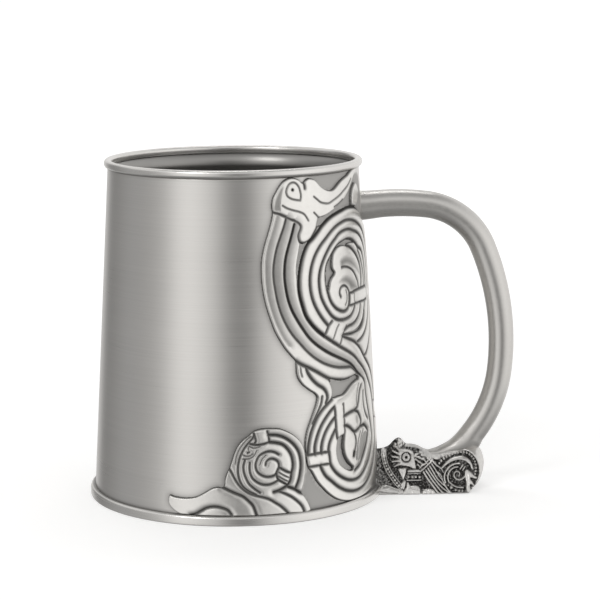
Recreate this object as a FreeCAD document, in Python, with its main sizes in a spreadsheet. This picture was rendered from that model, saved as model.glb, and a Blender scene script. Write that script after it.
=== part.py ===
import FreeCAD, Part
import math
import os
import Sketcher
from FreeCAD import Placement, Rotation, Vector

# Pewter tankard. Millimetres, +Z up. The origin is on the drum's axis at the level it stands on,
# and +X points from that axis towards the handle. +Y and -Y are the two decorated flanks.

doc = FreeCAD.newDocument("PewterTankard")

# ---------------------------------------------------------------------------------------------
# Driving sizes
# ---------------------------------------------------------------------------------------------
SIZES = [
    ("seam_height", 115.5, "height of the drum wall, where the rim bead is soldered on"),
    ("rim_height", 2.5, "height of the rim bead above the wall"),
    ("base_radius", 50.30, "outside radius of the drum at the bottom"),
    ("seam_radius", 43.58, "outside radius of the drum at the rim bead"),
    ("wall", 1.4, "thickness of the drum wall"),
    ("rim_overhang", 1.2, "how far the rim bead stands out from the wall"),
    ("rim_round", 2.1, "radius of the rim bead's outer round"),
    ("foot_height", 3.4, "height of the foot ring"),
    ("foot_radius", 51.8, "outside radius of the foot ring"),
    ("foot_land", 1.2, "upright part of the foot ring's edge"),
    ("foot_round", 2.9, "radius of the foot ring's upper round"),
    ("floor_level", 4.2, "height of the bottom plate's underside"),
    ("floor_thick", 1.4, "thickness of the bottom plate"),
    ("seam_leg", 1.2, "leg of the solder fillet inside the bottom"),
    ("seam_round", 1.6, "radius of that fillet"),
    ("relief", 0.9, "height of the cast ornament above the wall"),
    ("handle_radius", 4.55, "radius of the round handle bar"),
    ("handle_root_x", 42.0, "start of the bar's centre line, inside the wall"),
    ("handle_root_z", 100.743, "height of the bar's centre line at the wall"),
    ("bend_a_radius", 54.79, "gentle rise out of the wall"),
    ("bend_a_end", 48.171, "x where it ends"),
    ("bend_b_radius", 81.0, "level top arm"),
    ("bend_b_end", 67.425, "x where it ends"),
    ("bend_c_radius", 24.70, "shoulder"),
    ("bend_c_end", 87.164, "x where it ends"),
    ("bend_d_radius", 89.16, "long back of the grip"),
    ("bend_d_end", 42.168, "z where it ends"),
    ("bend_e_radius", 46.36, "return towards the drum"),
    ("bend_e_end", 12.0, "z where it ends, inside the terminal"),
    ("collar_root", 5.9, "radius of the solder collar at the wall"),
    ("collar_tip", 4.75, "radius of the solder collar at its outer end"),
    ("collar_length", 3.2, "length of the solder collar"),
    ("terminal_base", 25.0, "width of the handle terminal where it stands"),
    ("terminal_crest", 10.4, "width of the handle terminal at its top"),
    ("terminal_level", 0.3, "clearance under the handle terminal"),
    ("terminal_top", 17.5, "height at which the crest width is taken"),
]
sheet = doc.addObject("Spreadsheet::Sheet", "Sizes")
sheet.set("A1", "what it is")
sheet.set("B1", "mm")
for row, (alias, value, words) in enumerate(SIZES, start=2):
    sheet.set("A%d" % row, words)
    sheet.set("B%d" % row, str(value))
    sheet.setAlias("B%d" % row, alias)
doc.recompute()


class Size:
    """A number together with the expression over the sheet that drives it."""

    def __init__(self, text, value):
        self.text, self.value = text, float(value)

    def _join(self, other, sign, result, flip=False):
        other = other if isinstance(other, Size) else Size(repr(float(other)), other)
        a, b = (other, self) if flip else (self, other)
        return Size("(%s %s %s)" % (a.text, sign, b.text), result(a.value, b.value))

    def __add__(self, o):
        return self._join(o, "+", lambda a, b: a + b)

    def __radd__(self, o):
        return self._join(o, "+", lambda a, b: a + b, True)

    def __sub__(self, o):
        return self._join(o, "-", lambda a, b: a - b)

    def __rsub__(self, o):
        return self._join(o, "-", lambda a, b: a - b, True)

    def __mul__(self, o):
        return self._join(o, "*", lambda a, b: a * b)

    def __rmul__(self, o):
        return self._join(o, "*", lambda a, b: a * b, True)

    def __truediv__(self, o):
        return self._join(o, "/", lambda a, b: a / b)


def size(alias):
    return Size("Sizes." + alias, sheet.get(alias))


def number(text):
    return Size(repr(float(text)), text)


seam_height = size("seam_height")
base_radius = size("base_radius")
seam_radius = size("seam_radius")
wall = size("wall")
relief = size("relief")


def outside(z):
    """Outside radius of the drum at height z. The wall is a plain cone."""
    z = z if isinstance(z, Size) else number(z)
    return base_radius + (seam_radius - base_radius) * z / seam_height


def inside(z):
    return outside(z) - wall


def plane_of(body, role):
    for feature in body.Origin.OriginFeatures:
        if feature.Role == role:
            return feature
    raise RuntimeError(role)


def new_body(name, label):
    body = doc.addObject("PartDesign::Body", name)
    body.Label = label
    return body


def section(body, name, vertices, arcs=None, role="XZ_Plane", closed=True):
    """A dimensioned profile. vertices: (across, up) pairs of Size. arcs: edge number -> (radius, turn),
    turn +1 when the edge turns left on its way to the next vertex and -1 when it turns right."""
    arcs = arcs or {}
    sketch = body.newObject("Sketcher::SketchObject", name)
    sketch.AttachmentSupport = [(plane_of(body, role), "")]
    sketch.MapMode = "FlatFace"
    count = len(vertices)
    edges = count if closed else count - 1
    ends = []
    for i in range(edges):
        (ax, ay), (bx, by) = vertices[i], vertices[(i + 1) % count]
        a, b = Vector(ax.value, ay.value, 0), Vector(bx.value, by.value, 0)
        if i in arcs:
            radius, turn = arcs[i]
            half = (b - a).Length / 2.0
            left = Vector(-(b - a).y, (b - a).x, 0).normalize()
            centre = (a + b) * 0.5 + left * (turn * math.sqrt(radius.value**2 - half**2))
            start = math.atan2(a.y - centre.y, a.x - centre.x)
            end = math.atan2(b.y - centre.y, b.x - centre.x)
            if turn < 0:
                start, end = end, start
            if end < start:
                end += 2 * math.pi
            circle = Part.Circle(centre, Vector(0, 0, 1), radius.value)
            g = sketch.addGeometry(Part.ArcOfCircle(circle, start, end), False)
            ends.append((g, 1, 2) if turn > 0 else (g, 2, 1))
            c = sketch.addConstraint(Sketcher.Constraint("Radius", g, radius.value))
            sketch.setExpression("Constraints[%d]" % c, radius.text)
        else:
            g = sketch.addGeometry(Part.LineSegment(a, b), False)
            ends.append((g, 1, 2))
    for i in range(edges if closed else edges - 1):
        g, _, last = ends[i]
        n, first, _ = ends[(i + 1) % edges]
        sketch.addConstraint(Sketcher.Constraint("Coincident", g, last, n, first))
    for i in range(count):
        g, v = (ends[i][0], ends[i][1]) if i < edges else (ends[-1][0], ends[-1][2])
        for axis, value in (("DistanceX", vertices[i][0]), ("DistanceY", vertices[i][1])):
            if abs(value.value) < 1e-9:
                line = -2 if axis == "DistanceX" else -1
                sketch.addConstraint(Sketcher.Constraint("PointOnObject", g, v, line))
            else:
                c = sketch.addConstraint(Sketcher.Constraint(axis, -1, 1, g, v, value.value))
                sketch.setExpression("Constraints[%d]" % c, value.text)
    return sketch


def turned(name, label, vertices, arcs=None):
    """A turned piece: the profile revolved about the drum's axis."""
    body = new_body(name, label)
    sketch = section(body, name + "Section", vertices, arcs)
    feature = body.newObject("PartDesign::Revolution", name + "Turned")
    feature.Profile = sketch
    feature.ReferenceAxis = (sketch, ["V_Axis"])
    feature.Angle = 360.0
    body.Tip = feature
    doc.recompute()
    return body


zero = number(0.0)

# ---------------------------------------------------------------------------------------------
# The vessel: drum, rim bead, foot ring, bottom plate and its solder fillet
# ---------------------------------------------------------------------------------------------
drum = turned(
    "Drum",
    "drum",
    [(inside(0), zero), (outside(0), zero), (seam_radius, seam_height), (seam_radius - wall, seam_height)],
)

rim_top = seam_height + size("rim_height")
rim_inner = seam_radius - wall
rim_outer = seam_radius + size("rim_overhang")
rim_round = size("rim_round")
rim_bead = turned(
    "RimBead",
    "rim_bead",
    [
        (rim_inner, seam_height),
        (rim_outer - 0.5, seam_height),
        (rim_outer, seam_height + 0.6),
        (rim_outer - 1.0, rim_top),
        (rim_inner + 0.5, rim_top - 0.35),
        (rim_inner, rim_top - 1.3),
    ],
    {1: (number(0.75), 1), 2: (rim_round, 1), 3: (number(2.6), 1), 4: (number(1.3), 1)},
)

foot_height = size("foot_height")
foot_radius = size("foot_radius")
foot_ring = turned(
    "FootRing",
    "foot_ring",
    [
        (outside(0), zero),
        (foot_radius - 0.3, zero),
        (foot_radius, number(0.3)),
        (foot_radius, size("foot_land")),
        (outside(foot_height) + 0.25, foot_height),
        (outside(foot_height), foot_height),
    ],
    {1: (number(0.3), 1), 3: (size("foot_round"), 1)},
)

floor_low = size("floor_level")
floor_top = floor_low + size("floor_thick")
bottom_plate = turned(
    "BottomPlate",
    "bottom_plate",
    [(zero, floor_low), (inside(floor_low), floor_low), (inside(floor_top), floor_top), (zero, floor_top)],
)

seam_leg = size("seam_leg")
bottom_solder_fillet = turned(
    "BottomSolder",
    "bottom_solder_fillet",
    [
        (inside(floor_top) - seam_leg, floor_top),
        (inside(floor_top), floor_top),
        (inside(floor_top + seam_leg), floor_top + seam_leg),
    ],
    {2: (size("seam_round"), -1)},
)

# ---------------------------------------------------------------------------------------------
# A solid cone the size of the drum's outside, used to fit the handle and the terminal to the wall
# ---------------------------------------------------------------------------------------------
wall_form = doc.addObject("Part::Cone", "WallForm")
wall_form.setExpression("Radius1", "Sizes.base_radius")
wall_form.setExpression("Radius2", "Sizes.seam_radius")
wall_form.setExpression("Height", "Sizes.seam_height")
doc.recompute()

# ---------------------------------------------------------------------------------------------
# Handle: a round bar that leaves the wall nearly level, turns over a shoulder and comes down in
# one long bow to the terminal at the foot. The path is five tangent arcs.
# ---------------------------------------------------------------------------------------------
handle_bar = new_body("HandleBar", "handle_bar_blank")
spine = handle_bar.newObject("Sketcher::SketchObject", "HandleLine")
spine.AttachmentSupport = [(plane_of(handle_bar, "XZ_Plane"), "")]
spine.MapMode = "FlatFace"

root_x, root_z = size("handle_root_x"), size("handle_root_z")
knots = [
    Vector(42.0, 100.743, 0),
    Vector(48.171, 101.092, 0),
    Vector(67.425, 100.971, 0),
    Vector(87.164, 85.903, 0),
    Vector(93.408, 42.168, 0),
    Vector(77.486, 12.0, 0),
]
heading = 0.0
bends = []
for i, alias in enumerate(["bend_a_radius", "bend_b_radius", "bend_c_radius", "bend_d_radius", "bend_e_radius"]):
    turn = 1 if i == 0 else -1
    radius = size(alias)
    a, b = knots[i], knots[i + 1]
    half = (b - a).Length / 2.0
    left = Vector(-(b - a).y, (b - a).x, 0).normalize()
    centre = (a + b) * 0.5 + left * (turn * math.sqrt(radius.value**2 - half**2))
    start = math.atan2(a.y - centre.y, a.x - centre.x)
    end = math.atan2(b.y - centre.y, b.x - centre.x)
    if turn < 0:
        start, end = end, start
    if end < start:
        end += 2 * math.pi
    circle = Part.Circle(centre, Vector(0, 0, 1), radius.value)
    g = spine.addGeometry(Part.ArcOfCircle(circle, start, end), False)
    bends.append((g, 1, 2) if turn > 0 else (g, 2, 1))
    c = spine.addConstraint(Sketcher.Constraint("Radius", g, radius.value))
    spine.setExpression("Constraints[%d]" % c, radius.text)
for (g, _, last), (n, first, _) in zip(bends, bends[1:]):
    spine.addConstraint(Sketcher.Constraint("Tangent", g, last, n, first))
for axis, value in (("DistanceX", root_x), ("DistanceY", root_z)):
    c = spine.addConstraint(Sketcher.Constraint(axis, -1, 1, bends[0][0], bends[0][1], value.value))
    spine.setExpression("Constraints[%d]" % c, value.text)
spine.addConstraint(Sketcher.Constraint("Vertical", bends[0][0], bends[0][1], bends[0][0], 3))
for (g, _, last), (alias, axis) in zip(
    bends,
    [
        ("bend_a_end", "DistanceX"),
        ("bend_b_end", "DistanceX"),
        ("bend_c_end", "DistanceX"),
        ("bend_d_end", "DistanceY"),
        ("bend_e_end", "DistanceY"),
    ],
):
    c = spine.addConstraint(Sketcher.Constraint(axis, -1, 1, g, last, size(alias).value))
    spine.setExpression("Constraints[%d]" % c, size(alias).text)
doc.recompute()
print("handle line:", [round(e.Length, 2) for e in spine.Shape.Edges], "free:", spine.solve())

bar_section = handle_bar.newObject("Sketcher::SketchObject", "HandleSection")
bar_section.AttachmentSupport = [(plane_of(handle_bar, "YZ_Plane"), "")]
bar_section.MapMode = "FlatFace"
bar_section.setExpression("AttachmentOffset.Base.z", "Sizes.handle_root_x")
g = bar_section.addGeometry(
    Part.Circle(Vector(0, root_z.value, 0), Vector(0, 0, 1), size("handle_radius").value), False
)
c = bar_section.addConstraint(Sketcher.Constraint("Radius", g, size("handle_radius").value))
bar_section.setExpression("Constraints[%d]" % c, "Sizes.handle_radius")
bar_section.addConstraint(Sketcher.Constraint("PointOnObject", g, 3, -2))
c = bar_section.addConstraint(Sketcher.Constraint("DistanceY", -1, 1, g, 3, root_z.value))
bar_section.setExpression("Constraints[%d]" % c, "Sizes.handle_root_z")
doc.recompute()
pipe = handle_bar.newObject("PartDesign::AdditivePipe", "HandlePipe")
pipe.Profile = bar_section
pipe.Spine = spine
handle_bar.Tip = pipe
doc.recompute()

# ---------------------------------------------------------------------------------------------
# Terminal: a cast crouching beast, wedge-shaped in cross-section, that carries the lower end of
# the bar and is soldered to the wall and to the foot ring
# ---------------------------------------------------------------------------------------------
low = size("terminal_level").value
TERMINAL = [
    (46.0, low), (46.0, 11.9), (50.0, 12.8), (52.6, 13.4), (54.6, 14.4), (56.2, 15.8), (57.6, 16.2),
    (58.7, 15.5), (59.6, 14.4), (63.0, 14.0), (66.9, 13.9), (70.6, 14.6), (74.5, 15.3), (78.4, 15.1),
    (81.9, 13.8), (84.6, 12.1), (86.8, 10.0), (87.7, 7.9), (87.5, 5.4), (86.6, 3.1), (85.0, 1.3),
    (83.0, low),
]
terminal_blank = new_body("TerminalBlank", "terminal_blank")
outline = terminal_blank.newObject("Sketcher::SketchObject", "TerminalOutline")
outline.AttachmentSupport = [(plane_of(terminal_blank, "XZ_Plane"), "")]
outline.MapMode = "FlatFace"
for i in range(len(TERMINAL)):
    a, b = TERMINAL[i], TERMINAL[(i + 1) % len(TERMINAL)]
    g = outline.addGeometry(Part.LineSegment(Vector(a[0], a[1], 0), Vector(b[0], b[1], 0)), False)
    outline.addConstraint(Sketcher.Constraint("Block", g))
doc.recompute()
pad = terminal_blank.newObject("PartDesign::Pad", "TerminalPad")
pad.Profile = outline
pad.setExpression("Length", "Sizes.terminal_base")
if hasattr(pad, "SideType"):
    pad.SideType = "Symmetric"
else:
    pad.Midplane = True
terminal_blank.Tip = pad

wedge = doc.addObject("Part::Wedge", "TerminalWedge")
wedge.Xmin, wedge.Xmax, wedge.X2min, wedge.X2max = 40.0, 95.0, 40.0, 95.0
wedge.Ymin = 0.0
wedge.setExpression("Ymax", "Sizes.terminal_top")
wedge.setExpression("Zmin", "-Sizes.terminal_base / 2")
wedge.setExpression("Zmax", "Sizes.terminal_base / 2")
wedge.setExpression("Z2min", "-Sizes.terminal_crest / 2")
wedge.setExpression("Z2max", "Sizes.terminal_crest / 2")
wedge.Placement = Placement(Vector(0, 0, 0), Rotation(Vector(1, 0, 0), 90))
doc.recompute()


def boolean(kind, name, base, tool, label=None):
    result = doc.addObject(kind, name)
    result.Base, result.Tool = base, tool
    if label:
        result.Label = label
    doc.recompute()
    return result


def fused(name, shapes):
    result = doc.addObject("Part::MultiFuse", name)
    result.Shapes = shapes
    doc.recompute()
    return result


terminal_wedged = boolean("Part::Cut", "TerminalFitted", boolean("Part::Common", "TerminalWedged", terminal_blank, wedge), wall_form)
beast_terminal = boolean("Part::Cut", "BeastTerminal", terminal_wedged, foot_ring, "beast_terminal")

handle = boolean(
    "Part::Cut", "Handle", handle_bar, fused("HandleNeighbours", [wall_form, beast_terminal]), "handle"
)

# Solder collar where the bar meets the wall
collar_blank = doc.addObject("Part::Cone", "CollarBlank")
collar_blank.setExpression("Radius1", "Sizes.collar_root")
collar_blank.setExpression("Radius2", "Sizes.collar_tip")
collar_blank.setExpression("Height", "Sizes.collar_length")
collar_blank.Placement = Placement(Vector(43.6, 0, 100.87), Rotation(Vector(0, 1, 0), 90))
doc.recompute()
handle_collar = boolean(
    "Part::Cut", "HandleCollar", collar_blank, fused("CollarNeighbours", [wall_form, handle_bar]), "handle_collar"
)

# ---------------------------------------------------------------------------------------------
# Cast ornament, soldered to the wall. Outlines are laid out on the wall as (along, up): "along" is
# the arc length from the handle's line at a radius of 47 mm. Each outline is cut through a thin
# conical shell, square to the wall at the ornament's middle.
# ---------------------------------------------------------------------------------------------
UNROLL = 47.0
KNOTWORK = [
    (19.4, 115.2), (22.4, 114.9), (25.0, 114.0), (28.0, 113.2), (30.5, 112.2), (33.0, 110.6), (35.5, 109.9),
    (38.0, 110.3), (40.0, 111.2), (41.5, 112.3), (43.0, 113.6), (44.5, 114.3), (45.8, 114.5), (47.2, 113.8),
    (48.4, 112.8), (49.2, 113.8), (50.6, 114.9), (52.6, 115.2), (54.8, 114.9), (56.8, 113.6), (58.8, 111.2),
    (60.2, 108.6), (60.7, 106.6), (60.4, 104.8), (61.6, 100.0), (62.9, 96.0), (63.9, 92.0), (64.7, 87.0),
    (64.8, 82.0), (64.4, 76.0), (63.4, 70.0), (62.0, 65.5), (60.0, 61.5), (57.2, 58.0), (54.6, 55.4),
    (53.4, 53.6), (53.2, 50.2), (52.6, 47.8), (50.4, 45.2), (47.4, 43.1), (45.9, 41.5), (46.0, 40.0),
    (47.1, 37.6), (48.6, 34.0), (50.0, 29.5), (50.7, 24.5), (50.9, 22.2), (50.9, 18.3), (50.0, 17.8),
    (49.1, 14.6), (47.3, 11.8), (44.6, 8.7), (41.2, 6.2), (37.4, 4.7), (33.0, 4.0), (27.0, 3.9),
    (22.0, 4.4), (18.0, 5.6), (14.6, 8.2), (12.0, 11.6), (10.2, 16.0), (9.4, 22.0), (9.6, 30.0),
    (10.4, 38.0), (11.0, 46.0), (10.0, 53.0), (8.6, 60.0), (7.6, 68.0), (7.2, 76.0), (7.6, 84.0),
    (9.0, 90.0), (11.4, 95.0), (14.6, 99.2), (18.4, 102.3), (23.4, 103.0), (23.6, 107.6), (22.2, 109.6),
    (18.9, 110.9), (15.2, 110.4), (14.6, 112.2), (17.0, 113.8),
]
KNOTWORK_OPENINGS = [
    [(25.6, 108.4), (29.0, 105.9), (33.0, 103.7), (38.0, 102.0), (42.4, 101.2), (42.9, 98.6), (38.6, 101.2),
     (33.4, 102.9), (28.0, 103.4), (24.6, 103.3), (24.4, 107.2)],
    [(46.4, 94.0), (48.8, 93.4), (50.3, 93.2), (51.5, 89.0), (52.3, 84.0), (51.7, 80.2), (51.2, 85.0), (49.6, 89.4)],
    [(27.0, 45.2), (34.0, 45.3), (40.6, 46.4), (39.7, 43.4), (39.7, 40.5), (35.2, 40.6), (31.9, 42.0), (29.4, 43.9)],
    [(36.4, 25.9), (38.1, 25.2), (38.9, 22.0), (38.2, 18.2), (35.8, 15.9), (33.0, 14.9), (35.4, 18.4), (36.4, 22.0)],
]
SCROLL = [
    (51.4, 20.6), (51.9, 24.0), (53.6, 27.6), (56.2, 30.3), (59.4, 32.0), (62.6, 32.7), (65.6, 32.4),
    (68.9, 31.3), (72.0, 29.0), (74.3, 25.8), (75.7, 21.6), (76.3, 19.8), (77.3, 18.0), (77.8, 15.2),
    (77.4, 13.2), (80.0, 13.0), (82.4, 12.4), (85.4, 10.6), (88.4, 9.3), (92.4, 8.9), (95.4, 9.4),
    (95.9, 7.8), (95.2, 5.9), (92.8, 4.2), (90.6, 3.6), (50.4, 3.6), (50.9, 6.4), (52.8, 9.4), (51.8, 13.4),
]
SCROLL_OPENINGS = [
    [(68.6, 3.9), (69.4, 6.6), (71.4, 8.9), (73.8, 10.3), (76.4, 11.2), (77.2, 9.0), (76.0, 6.0), (75.6, 3.9)],
]


def relief_shell(name):
    """The conical shell the ornament is cut from, from the foot ring to the rim bead."""
    outer = doc.addObject("Part::Cone", name + "Outer")
    outer.setExpression("Radius1", (outside(foot_height) + relief).text)
    outer.setExpression("Radius2", (seam_radius + relief).text)
    outer.setExpression("Height", (seam_height - foot_height).text)
    outer.setExpression("Placement.Base.z", foot_height.text)
    doc.recompute()
    return boolean("Part::Cut", name, outer, wall_form)


def mount(name, label, loops, middle):
    """The part of the shell inside an outline laid out around azimuth middle (radians)."""
    outward = Vector(math.cos(middle), -math.sin(middle), 0)
    across = Vector(-math.sin(middle), -math.cos(middle), 0)
    body = new_body(name + "Block", label + "_block")
    sketch = body.newObject("Sketcher::SketchObject", name + "Outline")
    sketch.AttachmentSupport = [(plane_of(body, "XY_Plane"), "")]
    sketch.MapMode = "FlatFace"
    for loop in loops:
        flat = []
        for along, up in loop:
            radius = outside(up).value + relief.value / 2
            flat.append(Vector(radius * math.sin(along / UNROLL - middle), up, 0))
        for i in range(len(flat)):
            g = sketch.addGeometry(Part.LineSegment(flat[i], flat[(i + 1) % len(flat)]), False)
            sketch.addConstraint(Sketcher.Constraint("Block", g))
    doc.recompute()
    feature = body.newObject("PartDesign::Pad", name + "Pad")
    feature.Profile = sketch
    feature.Length = 40.0
    body.Tip = feature
    body.Placement = Placement(outward * 60.0, Rotation(across, Vector(0, 0, 1), outward * -1.0, "ZXY"))
    doc.recompute()
    near = boolean("Part::Common", name, relief_shell(name + "Shell"), body, label)
    return near


def mirrored(source, name, label):
    """The same casting for the other flank: the drum is symmetric about the handle's plane."""
    twin = doc.addObject("Part::Mirroring", name)
    twin.Source = source
    twin.Normal = Vector(0, 1, 0)
    twin.Base = Vector(0, 0, 0)
    twin.Label = label
    doc.recompute()
    return twin


knotwork_near = mount("KnotworkNear", "knotwork_mount_near", [KNOTWORK] + KNOTWORK_OPENINGS, math.radians(44.0))
scroll_near = mount("ScrollNear", "scroll_mount_near", [SCROLL] + SCROLL_OPENINGS, math.radians(90.0))
knotwork_far = mirrored(knotwork_near, "KnotworkFar", "knotwork_mount_far")
scroll_far = mirrored(scroll_near, "ScrollFar", "scroll_mount_far")
doc.recompute()

# ---------------------------------------------------------------------------------------------
# Checks and files
# ---------------------------------------------------------------------------------------------
NODES = [
    drum, rim_bead, foot_ring, bottom_plate, bottom_solder_fillet, handle, handle_collar, beast_terminal,
    knotwork_near, scroll_near, knotwork_far, scroll_far,
]
bad = [o.Name for o in doc.Objects if "Invalid" in o.State or "Error" in o.State]
if bad:
    raise RuntimeError("failed objects: %s" % bad)
os.makedirs("parts", exist_ok=True)
for node in NODES:
    shape = node.Shape
    if shape.isNull() or not shape.isValid() or not shape.Solids:
        raise RuntimeError("bad shape: " + node.Label)
    box = shape.BoundBox
    print("%-22s solids %d volume %9.1f  x %.1f..%.1f y %.1f..%.1f z %.1f..%.1f" % (
        node.Label, len(shape.Solids), shape.Volume, box.XMin, box.XMax, box.YMin, box.YMax, box.ZMin, box.ZMax))
    shape.exportStep("parts/%s.step" % node.Label)
brim = math.pi * (seam_height.value - floor_top.value) / 3.0 * sum(
    a * b for a, b in (
        (inside(floor_top).value, inside(floor_top).value),
        (inside(seam_height).value, inside(seam_height).value),
        (inside(floor_top).value, inside(seam_height).value),
    )
)
print("brimful volume %.0f ml" % (brim / 1000.0))
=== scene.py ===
"""Pewter tankard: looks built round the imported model.

Everything is worked out in millimetres in the tankard's own frame (base centre at the origin, handle towards +X)
and scaled to metres when a mesh is made.
"""

import math

import bpy
import numpy as np
from mathutils import Matrix, Vector


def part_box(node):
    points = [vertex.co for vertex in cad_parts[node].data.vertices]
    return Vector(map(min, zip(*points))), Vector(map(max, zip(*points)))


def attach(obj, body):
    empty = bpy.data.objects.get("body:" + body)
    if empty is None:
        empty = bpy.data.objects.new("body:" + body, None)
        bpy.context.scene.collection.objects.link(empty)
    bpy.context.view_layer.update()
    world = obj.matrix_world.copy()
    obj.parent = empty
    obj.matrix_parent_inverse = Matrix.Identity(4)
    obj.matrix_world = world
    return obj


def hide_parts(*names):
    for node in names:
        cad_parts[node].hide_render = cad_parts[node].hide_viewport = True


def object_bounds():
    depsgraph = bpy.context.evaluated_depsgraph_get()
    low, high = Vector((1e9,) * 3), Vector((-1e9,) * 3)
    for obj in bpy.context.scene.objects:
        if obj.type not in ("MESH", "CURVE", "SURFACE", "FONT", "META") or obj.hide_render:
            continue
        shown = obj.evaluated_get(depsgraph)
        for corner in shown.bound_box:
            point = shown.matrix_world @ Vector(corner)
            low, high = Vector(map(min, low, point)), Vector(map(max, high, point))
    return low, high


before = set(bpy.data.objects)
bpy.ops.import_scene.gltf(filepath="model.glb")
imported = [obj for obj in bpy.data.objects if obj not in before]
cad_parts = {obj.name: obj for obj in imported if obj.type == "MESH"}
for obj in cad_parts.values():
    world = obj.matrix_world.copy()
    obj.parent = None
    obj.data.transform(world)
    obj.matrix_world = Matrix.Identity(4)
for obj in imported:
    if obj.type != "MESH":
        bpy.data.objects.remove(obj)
cad_box = [list(map(float, v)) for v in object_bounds()]

MM = 0.001


def node_box(name):
    lo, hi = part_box(name)
    return np.array(lo) / MM, np.array(hi) / MM


# main dimensions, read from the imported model
drum_lo, drum_hi = node_box("drum")
rim_lo, rim_hi = node_box("rim_bead")
foot_lo, foot_hi = node_box("foot_ring")
plate_lo, plate_hi = node_box("bottom_plate")
fillet_lo, fillet_hi = node_box("bottom_solder_fillet")
handle_lo, handle_hi = node_box("handle")
collar_lo, collar_hi = node_box("handle_collar")
R_FOOT = drum_hi[1]                   # outer wall radius at the table
H_WALL = drum_hi[2]                   # top of the wall, under the rim bead
R_TOP = rim_hi[1] - 1.2               # outer wall radius there
WALL = 1.4
S_RADIUS = 47.0                       # the radius that ornament arc lengths are measured on


def wall_radius(z):
    return R_FOOT - (R_FOOT - R_TOP) * np.asarray(z) / H_WALL




# ------------------------------------------------------------------ studio settings
FLOOR_GLOW = 0.33
# (height of the direction, brightness) away from the horizon
ABOVE = [(-1.0, 0.34), (-0.80, 0.30), (-0.55, 0.48), (-0.35, 0.66), (0.35, 0.85), (0.55, 0.98), (0.72, 0.90), (0.90, 0.46), (1.0, 0.40)]
# (azimuth in degrees from +X towards the camera, brightness)
SURROUND = [
    (0, 1.10), (20, 1.20), (40, 1.15), (58, 0.95), (68, 0.70), (78, 0.28), (90, 0.26), (97, 0.40), (104, 0.75), (115, 0.95), (130, 1.17), (142, 1.03),
    (150, 0.70), (160, 0.55), (175, 0.47), (195, 0.45), (210, 0.36), (230, 0.27), (238, 0.45), (246, 0.80), (256, 0.86), (268, 0.96), (282, 1.00),
    (300, 1.00), (340, 1.05),
]
LIGHTS = [
    ("overhead_softbox", (0.0, 0.55, 1.35), 0.75, 2.0, 0.26),
    ("key_softbox", (-0.75, -0.9, 1.0), 0.5, 3.0, 0.5),
]
CAM_YAW, CAM_PITCH, CAM_ROLL = 0.03047, 0.16762, -0.0069
CAM_FOCAL, CAM_BACK, CAM_UP = 2166.075, 750.6, 194.6
def spline(pts, step=0.5, closed=False):
    p = np.asarray(pts, float)
    if len(p) == 2 and not closed:
        n = max(2, int(np.ceil(np.hypot(*(p[1] - p[0])) / step)) + 1)
        t = np.linspace(0, 1, n)[:, None]
        return p[0] * (1 - t) + p[1] * t
    q = np.vstack([p[-1], p, p[0], p[1]]) if closed else np.vstack([2 * p[0] - p[1], p, 2 * p[-1] - p[-2]])
    out = []
    for i in range(1, len(q) - 2):
        p0, p1, p2, p3 = q[i - 1], q[i], q[i + 1], q[i + 2]
        n = max(2, int(np.ceil(np.hypot(*(p2 - p1)) / step)))
        d1, d2, d3 = (max(np.hypot(*(b - a)), 1e-6) ** 0.5 for a, b in ((p0, p1), (p1, p2), (p2, p3)))
        m1 = ((p1 - p0) / d1 - (p2 - p0) / (d1 + d2) + (p2 - p1) / d2) * d2
        m2 = ((p2 - p1) / d2 - (p3 - p1) / (d2 + d3) + (p3 - p2) / d3) * d2
        t = (np.arange(n) / n)[:, None]
        out.append((2 * t**3 - 3 * t**2 + 1) * p1 + (t**3 - 2 * t**2 + t) * m1 + (-2 * t**3 + 3 * t**2) * p2 + (t**3 - t**2) * m2)
    o = np.vstack(out)
    return np.vstack([o, o[0]]) if closed else np.vstack([o, p[-1]])

def smooth(x):
    x = np.clip(x, 0.0, 1.0)
    return x * x * (3 - 2 * x)

def rounded(x):
    x = np.clip(x, 0.0, 1.0)
    return np.sqrt(np.clip(1 - (1 - x) ** 2, 0, 1))

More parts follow.
